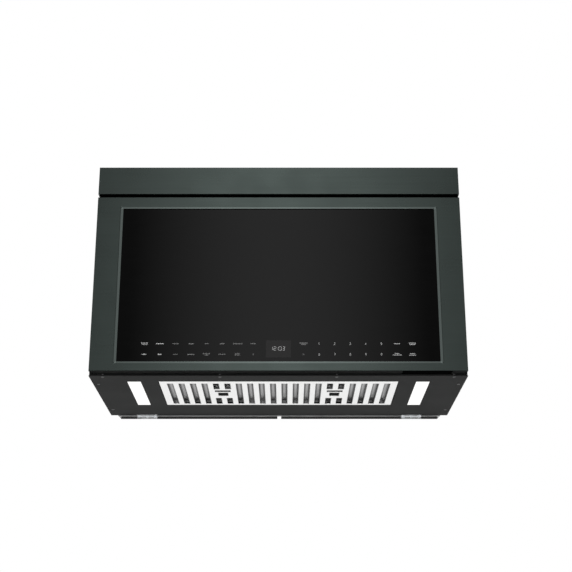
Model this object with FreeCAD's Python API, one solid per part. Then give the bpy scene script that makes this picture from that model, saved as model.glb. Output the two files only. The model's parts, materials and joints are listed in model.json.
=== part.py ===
"""Over the range microwave oven, built as separate pieces.

Millimetres. X runs to the right as seen from the front, Y runs back to the wall and Z runs up.
The origin is the middle of the wall plate's rear face, level with the underside of the base panel.
"""
import FreeCAD
import Part
import math
import os

V = FreeCAD.Vector

# ---- overall sizes ----
WIDTH = 759.0
HALF_W = WIDTH / 2
TOP_Z = 456.0
FRONT_Y = -347.0
DOOR_DEPTH = 38.5
CASE_BACK_Y = -6.5
CASE_HALF_W = HALF_W - 0.2
SHEET = 0.8
PANEL = 1.0
DOOR_REAR_Y = FRONT_Y + DOOR_DEPTH
PLATE_Y = DOOR_REAR_Y + 1.5
CASE_IN = CASE_HALF_W - SHEET
CASE_TOP_IN = TOP_Z - SHEET

# ---- door ----
DOOR_LOW_Z = 9.8
FASCIA_H = 61.6
FASCIA_LOW_Z = TOP_Z - FASCIA_H
DOOR_TOP_Z = FASCIA_LOW_Z - 7.4
SKIN = 1.2
RETURN_Y = DOOR_REAR_Y - 3.5
FRAME_SIDE = 54.0
GLASS_HALF_W = HALF_W - FRAME_SIDE
GLASS_LOW_Z = DOOR_LOW_Z + 19.7
GLASS_TOP_Z = DOOR_TOP_Z - 26.3
BEVEL = 6.0
BEVEL_DEPTH = 2.3
LIP_REAR_Y = FRONT_Y + SKIN + BEVEL_DEPTH
GLASS_T = 4.0
GLASS_EDGE = 8.0
POCKET_X = (HALF_W - 130.9, HALF_W - 30.3)
POCKET_REAR_Y = FRONT_Y + 22.0
POCKET_TOP_Z = DOOR_LOW_Z + 9.7

# ---- door hinge and latch ----
HINGE_X = -HALF_W + 8.5
HINGE_Y = DOOR_REAR_Y - 11.0
PIN_R = 3.0
BUSH_R = 3.05
COVER_LEFT_X = HINGE_X - 3.5
HINGE_ARM_T = 2.0
LOW_ARM_Z = DOOR_LOW_Z - HINGE_ARM_T - 1.8
HIGH_ARM_Z = DOOR_TOP_Z + 1.6
LATCH_X = HALF_W - 31.5
HOOK_W = 4.0
HOOK_H = 6.0
HOOK_ZS = (130.0, 300.0)
HOOK_TIP_Y = PLATE_Y + 16.0
LEVER_Z = HOOK_ZS[1] + 26.0
LATCH_TRAVEL = 4.0
SLIDER_Y = (DOOR_REAR_Y - 13.5, DOOR_REAR_Y - 5.5)
SPRING_Z = (HOOK_ZS[1] + 30.0, HOOK_ZS[1] + 52.0)

# ---- top: vent slot, exhaust ----
GRILLE_LOW_Z = FASCIA_LOW_Z - 3.4
DUCT_X = 127.0
DUCT_Y = (-102.0, -19.0)
COLLAR_H = 29.0
CAB_BOLT_X = 280.0
CAB_BOLT_Y = -160.0
CAB_BOLT_R = 3.3
CORD_X = HALF_W - 59.5
CORD_Y = -60.0
CORD_HOLE_R = 11.0

# ---- base ----
BASE_FRONT_Y = FRONT_Y + 4.0
LENS_X = HALF_W - 85.7
LENS_W = 27.0
FILTER_HALF_W = LENS_X - LENS_W / 2 - 36.7
FILTER_DEPTH = 194.9
FILTER_Y = (PLATE_Y + 9.2, PLATE_Y + 9.2 + FILTER_DEPTH)
FILTER_GAP = 1.7
FILTER_H = 10.8
FILTER_PIVOT = (FILTER_Y[1] - 3.1, 5.0)
FILTER_PIN_R = 1.5
SLOT_PITCH = 23.43
SLOT_W = 11.3
SLOT_COLUMNS = int((FILTER_HALF_W - 5.0) / SLOT_PITCH)
SLOT_Y = (FILTER_Y[0] + 15.1, FILTER_Y[1] - 9.4)
LATCH_COLUMNS = (SLOT_COLUMNS // 2 - 1, SLOT_COLUMNS // 2)
FILTER_LATCH_X = LATCH_COLUMNS[1] * SLOT_PITCH
LENS_Y = (FILTER_Y[0] - 0.3, FILTER_Y[1] - 1.1)
SCREW_R = 2.0
LIP_SCREWS = ((FILTER_LATCH_X, FRONT_Y + 11.0), (HALF_W - 27.5, FRONT_Y + 11.0))
SIDE_SCREWS = ((HALF_W - 11.5, FILTER_Y[0] + 17.8), (HALF_W - 11.5, CASE_BACK_Y - 55.9))

# ---- cavity and turntable ----
CAV_X = (-HALF_W + 49.5, HALF_W - 169.5)
CAV_Y = (PLATE_Y + PANEL, CASE_BACK_Y - 21.5)
CAV_Z = (96.0, DOOR_TOP_Z - 43.0)
TABLE_X = (CAV_X[0] + CAV_X[1]) / 2
TABLE_Y = (CAV_Y[0] + CAV_Y[1]) / 2
TRAY_R = (CAV_Y[1] - CAV_Y[0]) / 2 - 5.0
TRAY_Z = CAV_Z[0] + 16.5
ROLL_R = 8.0
ROLL_AT = TRAY_R - 32.0
ROLL_Z = CAV_Z[0] + ROLL_R + 0.2
SHAFT_R = 3.0

# ---- vent blower ----
WHEEL_R = 42.0
BLOW_Y = -82.0
BLOW_Z = CAV_Z[1] + 56.0
WHEEL_X = (46.0, 118.0)
VENT_SHAFT_R = 4.0
RUNNING = 0.06

# ---- magnetron bay ----
GUIDE_X = CAV_X[1] + PANEL
GUIDE_W = 23.0
GUIDE_Y = (-205.0, -115.0)
GUIDE_Z = (205.0, 300.0)
MAG_Y = (GUIDE_Y[0] + GUIDE_Y[1]) / 2
MAG_Z = GUIDE_Z[1] - 38.0
FAN_X = HALF_W - 82.5
FAN_Z = MAG_Z - 7.0
FAN_R = 47.5
FAN_SHAFT_R = 2.5
SUPPLY_X = (HALF_W - 130.5, HALF_W - 28.5)
SUPPLY_Z = 22.0
MAIN_BOARD_X = CASE_IN - 12.5
MAIN_BOARD_Y = (PLATE_Y + 39.0, PLATE_Y + 139.0)
NOISE_X = (HALF_W - 91.5, HALF_W - 17.5)
NOISE_Z = CAV_Z[1] + 26.0

# ---- wall plate ----
WALL_T = 1.2
WALL_HALF_W = HALF_W - 14.5
WALL_LOW_Z = -7.0
WALL_TOP_Z = TOP_Z - 36.0
RIM_Y = -5.5
STUD_X = 203.2
STUD_Z = (30.0, WALL_TOP_Z - 25.0)
STUD_R = 4.0
TAB_W = 45.0
TAB_X = WALL_HALF_W - TAB_W / 2 - 44.2


# ---------------------------------------------------------------- helpers
def box(x, y, z):
    """Block between pairs of limits."""
    return Part.makeBox(x[1] - x[0], y[1] - y[0], z[1] - z[0], V(x[0], y[0], z[0]))


def rod(axis, r, limits, centre):
    """Cylinder along a main axis; centre holds the other two coordinates in X, Y, Z order."""
    a, b = limits
    if axis == "x":
        return Part.makeCylinder(r, b - a, V(a, centre[0], centre[1]), V(1, 0, 0))
    if axis == "y":
        return Part.makeCylinder(r, b - a, V(centre[0], a, centre[1]), V(0, 1, 0))
    return Part.makeCylinder(r, b - a, V(centre[0], centre[1], a), V(0, 0, 1))


def post(axis, r, limits, centre):
    """Six-sided post or screw head along a main axis, r across its corners."""
    a, b = limits
    turns = [(r * math.cos(math.pi * i / 3), r * math.sin(math.pi * i / 3)) for i in range(6)]
    if axis == "x":
        return prism([(a, centre[0] + u, centre[1] + w) for u, w in turns], V(b - a, 0, 0))
    if axis == "y":
        return prism([(centre[0] + u, a, centre[1] + w) for u, w in turns], V(0, b - a, 0))
    return prism([(centre[0] + u, centre[1] + w, a) for u, w in turns], V(0, 0, b - a))


def ring(axis, r_out, r_in, limits, centre):
    """Cylinder with a round hole through it."""
    a, b = limits
    return rod(axis, r_out, limits, centre).cut(rod(axis, r_in, (a - 1, b + 1), centre))


def cut(shape, tools):
    return shape.cut(Part.makeCompound(tools))


def fuse(shapes):
    return shapes[0].multiFuse(shapes[1:]).removeSplitter()


def group(shapes):
    return Part.makeCompound(shapes)


def mirrored(shape):
    """The shape and its copy on the other side of the middle plane."""
    return [shape, shape.mirror(V(0, 0, 0), V(1, 0, 0))]


def prism(points, vector):
    """Flat outline pushed along a vector."""
    loop = [V(*p) for p in points]
    return Part.Face(Part.makePolygon(loop + [loop[0]])).extrude(vector)


def plate_xz(points, y):
    return prism([(px, y[0], pz) for px, pz in points], V(0, y[1] - y[0], 0))


def plate_yz(points, x):
    return prism([(x[0], py, pz) for py, pz in points], V(x[1] - x[0], 0, 0))


def tube_y(x, z, wall, y):
    """Rectangular tube along Y; x and z are its outside limits."""
    inside = box((x[0] + wall, x[1] - wall), (y[0] - 1, y[1] + 1), (z[0] + wall, z[1] - wall))
    return box(x, y, z).cut(inside)


def rounded_wire(x, z, r, y):
    """Rounded rectangle in an XZ plane."""
    w, h = x[1] - x[0], z[1] - z[0]
    block = Part.makeBox(w, 1, h, V(x[0], y, z[0]))
    block = block.makeFillet(r, edges_along(block, 1))
    face = [f for f in block.Faces if abs(f.CenterOfMass.y - y) < 1e-6][0]
    return face.OuterWire


def edges_along(shape, axis, test=None):
    """Straight edges along a main axis (0, 1 or 2) whose middle passes the test."""
    found = []
    for e in shape.Edges:
        if len(e.Vertexes) != 2 or not isinstance(e.Curve, Part.Line):
            continue
        d = e.Vertexes[1].Point - e.Vertexes[0].Point
        if abs(abs(d[axis]) - d.Length) < 1e-6 and (test is None or test(e.CenterOfMass)):
            found.append(e)
    return found


def case_outline():
    """Inside of the wrapper, seen from the front."""
    c = CASE_IN
    t = CASE_TOP_IN
    return [(-c, PANEL), (c, PANEL), (c, t - 3), (c - 3, t), (-c + 3, t), (-c, t - 3)]


def lead(points, r, bend):
    """Round lead in straight runs along the main axes, joined by quarter-turn elbows."""
    pts = [V(*p) for p in points]
    parts = []
    start = pts[0]
    for a, b, c in zip(pts, pts[1:], pts[2:]):
        u = (a - b).normalize()
        w = (c - b).normalize()
        p, q = b + u * bend, b + w * bend
        parts.append(Part.makeCylinder(r, (p - start).Length, start, p - start))
        disc = Part.Face(Part.Wire(Part.makeCircle(r, p, u)))
        parts.append(disc.revolve(p + w * bend, w.cross(u), 90))
        start = q
    parts.append(Part.makeCylinder(r, (pts[-1] - start).Length, start, pts[-1] - start))
    return fuse(parts)


def screw(x, y, z, head_r, head_h, shank):
    """Pan head screw under a sheet at height z: its tapered head lies below, its shank above."""
    head = Part.makeCone(head_r, head_r * 0.75, head_h, V(x, y, z), V(0, 0, -1))
    return head.fuse(rod("z", SCREW_R, (z - 0.1, z + shank), (x, y)))


# ---------------------------------------------------------------- wall and case
def wall_plate():
    """Pressed plate screwed to the wall, with a rim, two beads, windows and tapered lower corners."""
    w, t = WALL_HALF_W, WALL_T
    taper = 8.0
    outline = [(-w + taper, WALL_LOW_Z), (w - taper, WALL_LOW_Z), (w, WALL_LOW_Z + taper),
               (w, WALL_TOP_Z), (-w, WALL_TOP_Z), (-w, WALL_LOW_Z + taper)]
    body = [plate_xz(outline, (-t, 0))]
    for piece in mirrored(box((w - t, w), (RIM_Y, -t), (WALL_LOW_Z + taper, WALL_TOP_Z))):
        body.append(piece)
    body.append(box((-w + t, w - t), (RIM_Y, -t), (WALL_TOP_Z - t, WALL_TOP_Z)))
    rim_z = (-4.1, -4.1 + t)
    inner = TAB_X - TAB_W / 2 - 1
    outer = TAB_X + TAB_W / 2 + 1
    body.append(box((-inner, inner), (RIM_Y, -t), rim_z))
    body += mirrored(box((outer, w - taper), (RIM_Y, -t), rim_z))
    for x in (15.2 - STUD_X, STUD_X - 15.2):
        bead = [(x - 5, -t), (x - 3, RIM_Y + 2), (x + 3, RIM_Y + 2), (x + 5, -t)]
        body.append(prism([(u, q, 80) for u, q in bead], V(0, 0, WALL_TOP_Z - 200)))
    holes = [box((-w, w), (0, 9), (0, WALL_TOP_Z)), box((-4.3, 4.3), (-9, 1), (-9, -1))]
    middle = STUD_X - 38.2
    holes.append(box((-middle, middle), (-9, 1), (60, WALL_TOP_Z - 120)))
    holes.append(box((-DUCT_X - 13, DUCT_X + 13), (-9, 1), (WALL_TOP_Z - 85, WALL_TOP_Z + 1)))
    for piece in mirrored(box((STUD_X + 24.8, w - 30), (-9, 1), (60, WALL_TOP_Z - 60))):
        holes.append(piece)
    for x in (-STUD_X, STUD_X):
        for z in STUD_Z:
            holes.append(rod("y", STUD_R, (-9, 1), (x, z)))
    return cut(fuse(body), holes)


def support_tabs():
    """Zinc brackets on the wall plate that carry the case's lower rear edge."""
    x = (TAB_X - TAB_W / 2, TAB_X + TAB_W / 2)
    front = -WALL_T - 1.6
    riser = box(x, (front, -WALL_T), (WALL_LOW_Z, 26))
    foot = box(x, (-13, front), (-1.4, 0))
    windows = []
    for i in (0, 1):
        left = x[0] + 8 + i * 17.0
        windows.append(box((left, left + 12), (front - 1, 0), (WALL_LOW_Z + 1.2, -2.4)))
    return group(mirrored(cut(fuse([riser, foot]), windows)))


def outer_wrapper():
    """One sheet bent over the top and down both sides, with the exhaust opening and weld nuts."""
    y = (PLATE_Y, CASE_BACK_Y)
    block = box((-CASE_HALF_W, CASE_HALF_W), y, (PANEL, TOP_Z))
    block = block.makeFillet(3.0, edges_along(block, 1, lambda p: p.z > TOP_Z - 1))
    hollow = box((-CASE_IN, CASE_IN), (y[0] - 1, y[1] + 1), (0, CASE_TOP_IN))
    hollow = hollow.makeFillet(2.2, edges_along(hollow, 1, lambda p: p.z > TOP_Z - 2))
    shell = block.cut(hollow)
    holes = [box((-DUCT_X, DUCT_X), DUCT_Y, (TOP_Z - 2, TOP_Z + 1))]
    bore = rod("z", CAB_BOLT_R, (TOP_Z - 9, TOP_Z + 1), (CAB_BOLT_X, CAB_BOLT_Y))
    holes += mirrored(bore)
    nut = post("z", 7.0, (CASE_TOP_IN - 6, CASE_TOP_IN), (CAB_BOLT_X, CAB_BOLT_Y)).cut(bore)
    holes.append(rod("z", CORD_HOLE_R, (TOP_Z - 2, TOP_Z + 1), (CORD_X, CORD_Y)))
    for i in range(12):
        start = GUIDE_Y[0] + 9 + 12.5 * i
        holes.append(box((CASE_IN - 1, CASE_HALF_W + 1), (start, start + 4.5), (62, 112)))
    return group([cut(shell, holes)] + mirrored(nut))


def back_panel():
    """Flat rear sheet with a raised field and air slots behind the magnetron bay."""
    y = (CASE_BACK_Y - SHEET, CASE_BACK_Y)
    panel = plate_xz(case_outline(), y)
    holes = []
    for i in range(10):
        x = FAN_X - 51.0 + 11 * i
        holes.append(box((x, x + 4.5), (y[0] - 1, y[1] + 1), (FAN_Z - 50, FAN_Z + 45)))
    panel = cut(panel, holes)
    beads = []
    for x in (CAV_X[0] + 30, CAV_X[0] + 130, CAV_X[1] - 10):
        beads.append(box((x - 4, x + 4), (y[0] - 1.4, y[0]), (60, TOP_Z - 76)))
    return fuse([panel] + beads)


def base_panel():
    """Bottom sheet with openings for the filter and lamp lenses, side flanges and front ears."""
    sheet = box((-CASE_HALF_W, CASE_HALF_W), (BASE_FRONT_Y, CASE_BACK_Y), (0, PANEL))
    hem = box((-CASE_HALF_W + 4.2, CASE_HALF_W - 4.2), (BASE_FRONT_Y, BASE_FRONT_Y + 14), (PANEL, 2.4))
    body = [sheet, hem]
    side = (PLATE_Y + PANEL + 0.1, CASE_BACK_Y - SHEET)
    body += mirrored(box((CASE_IN - PANEL, CASE_IN), side, (PANEL, 15)))
    ear = box((CASE_IN - 3.4, CASE_IN - 0.4), (BASE_FRONT_Y, PLATE_Y), (PANEL, DOOR_LOW_Z - 0.8))
    body += mirrored(ear)
    rear = (CASE_BACK_Y - SHEET - PANEL, CASE_BACK_Y - SHEET)
    body.append(box((-CASE_IN + PANEL, CASE_IN - PANEL), rear, (PANEL, 14)))
    g = FILTER_GAP
    y = (FILTER_Y[0] - g, FILTER_Y[1] + 2.0)
    holes = [box((-FILTER_HALF_W - g, FILTER_HALF_W + g), y, (-1, 2))]
    lens = box((LENS_X - LENS_W / 2 - 0.3, LENS_X + LENS_W / 2 + 0.3),
               (LENS_Y[0] - 0.3, LENS_Y[1] + 0.3), (-1, 2))
    holes += mirrored(lens)
    for x, y in LIP_SCREWS + SIDE_SCREWS:
        holes += mirrored(rod("z", SCREW_R + 0.05, (-1, 3), (x, y)))
    body = cut(fuse(body), holes)
    lips = []
    for x in (-FILTER_HALF_W - g, FILTER_HALF_W + g):
        a = x - 1.0 if x < 0 else x
        lips.append(box((a, a + 1.0), (FILTER_Y[0] - g, FILTER_Y[1] + 2), (PANEL, 9)))
    bore = rod("x", FILTER_PIN_R + 0.05, (-FILTER_HALF_W - 9, FILTER_HALF_W + 9), FILTER_PIVOT)
    return fuse([body] + lips).cut(bore)


def front_plate():
    """Sheet across the front of the case: cavity mouth, air windows, latch slots and hinge slots."""
    y = (PLATE_Y, PLATE_Y + PANEL)
    deep = (y[0] - 1, y[1] + 1)
    plate = plate_xz(case_outline(), y)
    holes = [box(CAV_X, deep, CAV_Z)]
    first = CAV_X[0] - 20
    pitch = (CAV_X[1] - first) / 5
    for i in range(5):
        x = first + pitch * i
        holes.append(box((x, x + pitch - 12), deep, (TOP_Z - 54, TOP_Z - 10)))
    for z in HOOK_ZS:
        holes.append(box((LATCH_X - 5.5, LATCH_X + 5.5), deep, (z - 5.5, z + HOOK_H + 7)))
    for z in (LOW_ARM_Z, HIGH_ARM_Z):
        holes.append(box((HINGE_X - 3.7, HINGE_X + 21.2), deep, (z, z + HINGE_ARM_T)))
    return cut(plate, holes)


def top_fascia():
    """Metal strip above the door, folded back at the top, bottom and ends."""
    z = (FASCIA_LOW_Z, TOP_Z)
    block = box((-HALF_W, HALF_W), (FRONT_Y, PLATE_Y), z)
    front = edges_along(block, 2, lambda p: p.y < FRONT_Y + 1)
    front += edges_along(block, 0, lambda p: p.y < FRONT_Y + 1)
    block = block.makeFillet(1.0, front)
    holes = [box((-HALF_W + 1, HALF_W - 1), (FRONT_Y + 1.0, 0), (z[0] + 1, z[1] - 1))]
    holes.append(box((-HALF_W + 1, HALF_W - 1), (FRONT_Y + 6, 0), (z[0] - 1, z[0] + 2)))
    return cut(block, holes)


def vent_grille():
    """Black channel behind the slot above the door, with a comb of air openings in its lip."""
    x = CASE_IN - 0.9
    low = GRILLE_LOW_Z
    front = FRONT_Y + 7.0
    floor = box((-x, x), (front, PLATE_Y), (low, low + 1.2))
    lip = box((-x, x), (front, front + 1.2), (low + 1.2, low + 13))
    body = [floor, lip] + mirrored(box((x - 1.2, x), (front, PLATE_Y), (low + 1.2, TOP_Z - 4)))
    body.append(box((-x, x), (PLATE_Y - 1.2, PLATE_Y), (low + 1.2, low + 6)))
    holes = []
    count = 26
    pitch = 2 * x / count
    for i in range(count):
        a = -x + pitch * (i + 0.5)
        holes.append(box((a - 11.5, a + 11.5), (front - 1, front + 2), (low + 2.6, low + 9)))
    return cut(fuse(body), holes)


# ---------------------------------------------------------------- exhaust and vent blower
def damper_frame():
    """Rectangular duct collar on the top, with a flange and a ledge that the flap rests on."""
    y = DUCT_Y
    flange = box((-DUCT_X - 13, DUCT_X + 13), (y[0] - 12, y[1] + 11), (TOP_Z, TOP_Z + 1))
    collar = box((-DUCT_X, DUCT_X), y, (TOP_Z, TOP_Z + 1 + COLLAR_H))
    inside = box((-DUCT_X + 1, DUCT_X - 1), (y[0] + 1, y[1] - 1), (TOP_Z - 1, TOP_Z + 99))
    ledge = box((-DUCT_X + 1, DUCT_X - 1), (y[1] - 4, y[1] - 1), (TOP_Z + 1.6, TOP_Z + 2.6))
    frame = fuse([fuse([flange, collar]).cut(inside), ledge])
    return frame.cut(rod("x", 1.55, (-DUCT_X - 1, DUCT_X + 1), (y[0] + 5, TOP_Z + 4.6)))


def damper_flap():
    """Thin flap on a long pin; air from the blower lifts it."""
    y0 = DUCT_Y[0] + 5
    w = DUCT_X - 2.2
    z = TOP_Z + 2.9
    leaf = box((-w, w), (y0, DUCT_Y[1] - 1.6), (z, z + 0.9))
    barrel = rod("x", 2.2, (-w, w), (y0, TOP_Z + 4.6))
    pin = rod("x", 1.5, (-DUCT_X - 0.8, DUCT_X + 0.8), (y0, TOP_Z + 4.6))
    return fuse([leaf, barrel, pin])


def cable_grommet():
    """Rubber grommet in the top sheet where the supply lead passes."""
    c = (CORD_X, CORD_Y)
    neck = rod("z", CORD_HOLE_R - 0.05, (TOP_Z - 3.4, TOP_Z + 2.6), c)
    low = rod("z", CORD_HOLE_R + 3, (TOP_Z - 3.4, CASE_TOP_IN), c)
    high = rod("z", CORD_HOLE_R + 3, (TOP_Z, TOP_Z + 2.6), c)
    return fuse([neck, low, high]).cut(rod("z", 7.0, (TOP_Z - 9, TOP_Z + 9), c))


def charcoal_filter():
    """Framed odour filter behind the air windows."""
    y = (PLATE_Y + PANEL, PLATE_Y + 15)
    z = (TOP_Z - 60, TOP_Z - 6)
    block = box((-165, 165), y, z)
    holes = []
    for i in range(15):
        x = -158.0 + 21.2 * i
        for low in (z[0] + 4, z[0] + 28.5):
            holes.append(box((x, x + 18.5), (y[0] - 1, y[1] + 1), (low, low + 21.5)))
    pad = box((-160, 160), (y[0] + 5, y[0] + 8), (z[0] + 3, z[1] - 3))
    return fuse([cut(block, holes), pad])


def scroll_outline(x, grow):
    """Closed outline of the blower housing in a YZ plane: three arcs that widen to the outlet."""
    def at(turn):
        r = WHEEL_R + 3.5 + 11.5 * (turn - 60) / 300.0 + grow
        rad = math.radians(turn)
        return V(x, BLOW_Y + r * math.cos(rad), BLOW_Z + r * math.sin(rad))

    arcs = [Part.Arc(at(a), at(a + 50), at(a + 100)).toShape() for a in (60, 160, 260)]
    top = CASE_TOP_IN - (1.2 if grow >= 0 else -1.0)
    a = V(x, at(360).y, top)
    b = V(x, at(60).y, top)
    wire = Part.Wire(arcs + [Part.makeLine(at(360), a), Part.makeLine(a, b),
                             Part.makeLine(b, at(60))])
    return Part.Face(wire)


def blower_housing():
    """Two spiral housings with side inlets, open upwards into the exhaust."""
    shells = []
    x0, x1 = WHEEL_X[0] - 5, WHEEL_X[1] + 5
    outer = scroll_outline(x0, 0.0).extrude(V(x1 - x0, 0, 0))
    inner = scroll_outline(x0 + 1.2, -1.2).extrude(V(x1 - x0 - 2.4, 0, 0))
    c = (BLOW_Y, BLOW_Z)
    inlet = rod("x", WHEEL_R - 6, (x1 - 3, x1 + 1), c)
    bore = rod("x", 12, (x0 - 1, x0 + 3), c)
    foot = box((x0, x1), (BLOW_Y - 30, BLOW_Y + 30), (CAV_Z[1] + PANEL, BLOW_Z - WHEEL_R - 8))
    shell = cut(fuse([outer, foot]), [inner, inlet, bore])
    shells += mirrored(shell)
    tie = box((-x0, x0), (BLOW_Y - 30, BLOW_Y + 30), (CAV_Z[1] + PANEL, CAV_Z[1] + 2.4))
    return fuse(shells + [tie])


def blade_wheel(x_disc, x_ring):
    """Squirrel-cage wheel: hub disc at one end, ring at the other, curved blades between."""
    c = (BLOW_Y, BLOW_Z)
    s = 1 if x_ring > x_disc else -1
    disc = rod("x", WHEEL_R, sorted((x_disc, x_disc + s * 1.5)), c)
    hub = rod("x", 9, sorted((x_disc, x_disc + s * 16)), c)
    end = ring("x", WHEEL_R, WHEEL_R - 3, sorted((x_ring - s * 3, x_ring)), c)
    parts = [disc, hub, end]
    lo, hi = sorted((x_disc, x_ring - s))
    count = 22
    for i in range(count):
        corners = []
        for inset, turn in ((8.0, 0.0), (0.4, 6.0), (0.8, 8.0), (8.4, 2.4)):
            r = WHEEL_R - inset
            a = math.radians(360.0 * i / count + turn)
            corners.append((lo, BLOW_Y + r * math.cos(a), BLOW_Z + r * math.sin(a)))
        parts.append(prism(corners, V(hi - lo, 0, 0)))
    wheel = fuse(parts)
    return wheel.cut(rod("x", VENT_SHAFT_R, (lo - 9, hi + 9), c))


def blower_wheels():
    return group([blade_wheel(WHEEL_X[0], WHEEL_X[1]), blade_wheel(-WHEEL_X[0], -WHEEL_X[1])])


def blower_shaft():
    return rod("x", VENT_SHAFT_R, (-WHEEL_X[0] - 18, WHEEL_X[0] + 18), (BLOW_Y, BLOW_Z))


def vent_motor():
    """Motor between the two wheels, with tapered end caps and a slotted band."""
    c = (BLOW_Y, BLOW_Z)
    body = rod("x", 31, (-24, 24), c)
    caps = []
    for s in (-1, 1):
        caps.append(Part.makeCone(31, 22, 7, V(s * 24, BLOW_Y, BLOW_Z), V(s, 0, 0)))
        caps.append(rod("x", 9, sorted((s * 30, s * 34)), c))
    band = rod("x", 34, (-17, 17), c)
    fins = [ring("x", 40, 32.5, (i * 11.0 - 2, i * 11.0 + 2), c) for i in (-1, 0, 1)]
    motor = cut(fuse([body, band] + caps), fins)
    return motor.cut(rod("x", VENT_SHAFT_R + RUNNING, (-40, 40), c))


def motor_bracket():
    """Strap round the motor with two legs down to the cavity top."""
    c = (BLOW_Y, BLOW_Z)
    straps = []
    for x in (-27.0, 21.0):
        strap = ring("x", 33, 31, (x, x + 6), c)
        leg = box((x, x + 6), (BLOW_Y - 12, BLOW_Y + 12), (CAV_Z[1] + PANEL + 1.4, BLOW_Z - 31.5))
        straps.append(fuse([strap, leg]))
    foot = box((-33, 33), (BLOW_Y - 26, BLOW_Y + 26), (CAV_Z[1] + PANEL + 1.4, CAV_Z[1] + PANEL + 2.6))
    bracket = fuse(straps + [foot])
    return bracket.cut(rod("x", 31, (-40, 40), c))


# ---------------------------------------------------------------- cavity and turntable
def cavity():
    """Oven cavity: five walls with the shaft hole, air holes and the waveguide window."""
    p = PANEL
    x = (CAV_X[0] - p, CAV_X[1] + p)
    z = (CAV_Z[0] - p, CAV_Z[1] + p)
    block = box(x, (PLATE_Y + p, CAV_Y[1] + p), z)
    inside = box(CAV_X, (PLATE_Y, CAV_Y[1]), CAV_Z)
    inside = inside.makeFillet(5.0, edges_along(inside, 1))
    holes = [inside, rod("z", 5.5, (z[0] - 1, z[0] + 3), (TABLE_X, TABLE_Y))]
    holes.append(box((CAV_X[1] - 1, x[1] + 1), (GUIDE_Y[0] + 12, GUIDE_Y[1] - 12),
                     (GUIDE_Z[0] + 8, GUIDE_Z[0] + 48)))
    for i in range(6):
        start = CAV_Y[0] + 22 + 5 * i
        slot = (start, start + 2.4)
        rise = (CAV_Z[1] - 42, CAV_Z[1] - 22)
        holes.append(box((CAV_X[1] - 1, x[1] + 1), slot, rise))
        holes.append(box((x[0] - 1, CAV_X[0] + 1), slot, rise))
    return cut(block, holes)


def waveguide():
    """Folded duct that carries the waves from the magnetron to the cavity wall."""
    x = (GUIDE_X, GUIDE_X + GUIDE_W)
    block = box(x, GUIDE_Y, GUIDE_Z)
    inside = box((x[0] - 1, x[1] - 1), (GUIDE_Y[0] + 1, GUIDE_Y[1] - 1), (GUIDE_Z[0] + 1, GUIDE_Z[1] - 1))
    lips = box((x[0], x[0] + 1), (GUIDE_Y[0] - 7, GUIDE_Y[1] + 7), (GUIDE_Z[0] - 7, GUIDE_Z[1] + 7))
    mouth = box((x[0] - 1, x[0] + 3), (GUIDE_Y[0] + 1, GUIDE_Y[1] - 1), (GUIDE_Z[0] + 1, GUIDE_Z[1] - 1))
    hole = rod("x", 9.5, (x[1] - 3, x[1] + 1), (MAG_Y, MAG_Z))
    return cut(fuse([block, lips]), [inside, mouth, hole])


def waveguide_cover():
    """Thin mica sheet over the waveguide window inside the cavity."""
    y = (GUIDE_Y[0] + 5, GUIDE_Y[1] - 5)
    sheet = box((CAV_X[1] - 0.6, CAV_X[1]), y, (GUIDE_Z[0] + 1, GUIDE_Z[0] + 56))
    return sheet.makeFillet(4.0, edges_along(sheet, 0))


def turntable_motor():
    """Flat geared motor under the cavity floor."""
    c = (TABLE_X, TABLE_Y)
    top = CAV_Z[0] - PANEL
    can = rod("z", 24.5, (top - 15, top), c)
    ears = box((TABLE_X - 33, TABLE_X + 33), (TABLE_Y - 5, TABLE_Y + 5), (top - 1, top))
    plug = box((TABLE_X - 9, TABLE_X + 9), (TABLE_Y - 33, TABLE_Y - 20), (top - 13, top - 3))
    holes = [rod("z", SHAFT_R + RUNNING, (top - 12, top + 1), c)]
    holes.append(rod("z", 6.0, (top - 2.5, top + 1), c))
    for s in (-1, 1):
        holes.append(rod("z", 2.0, (top - 3, top + 1), (TABLE_X + s * 29, TABLE_Y)))
    return cut(fuse([can, ears, plug]), holes)


def turntable_coupler():
    """Three-armed driver between the motor and the tray, with its shaft."""
    c = (TABLE_X, TABLE_Y)
    hub = rod("z", 9, (CAV_Z[0] + 1, TRAY_Z - 0.3), c)
    parts = [hub, rod("z", SHAFT_R, (CAV_Z[0] - 11, CAV_Z[0] + 2), c)]
    for a in (0, 120, 240):
        arm = box((TABLE_X, TABLE_X + 23), (TABLE_Y - 4, TABLE_Y + 4), (TRAY_Z - 8, TRAY_Z - 3.3))
        tip = rod("z", 4.0, (TRAY_Z - 8, TRAY_Z - 0.3), (TABLE_X + 23, TABLE_Y))
        piece = arm.fuse(tip)
        piece.rotate(V(TABLE_X, TABLE_Y, 0), V(0, 0, 1), a)
        parts.append(piece)
    return fuse(parts)


def glass_tray():
    """Round glass tray with a raised rim, and lugs under it that the coupler turns."""
    z = TRAY_Z
    r = TRAY_R
    profile = [(0, z), (r - 9, z), (r, z + 9), (r, z + 11), (r - 2.4, z + 11),
               (r - 10, z + 4.5), (0, z + 4.5)]
    loop = [V(TABLE_X + a, TABLE_Y, b) for a, b in profile]
    face = Part.Face(Part.makePolygon(loop + [loop[0]]))
    dish = face.revolve(V(TABLE_X, TABLE_Y, 0), V(0, 0, 1), 360)
    lugs = []
    for a in (25, 145, 265):
        lug = box((TABLE_X + 14, TABLE_X + 26), (TABLE_Y - 2, TABLE_Y + 2), (z - 4, z + 1))
        lug.rotate(V(TABLE_X, TABLE_Y, 0), V(0, 0, 1), a)
        lugs.append(lug)
    return fuse([dish] + lugs)


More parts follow.
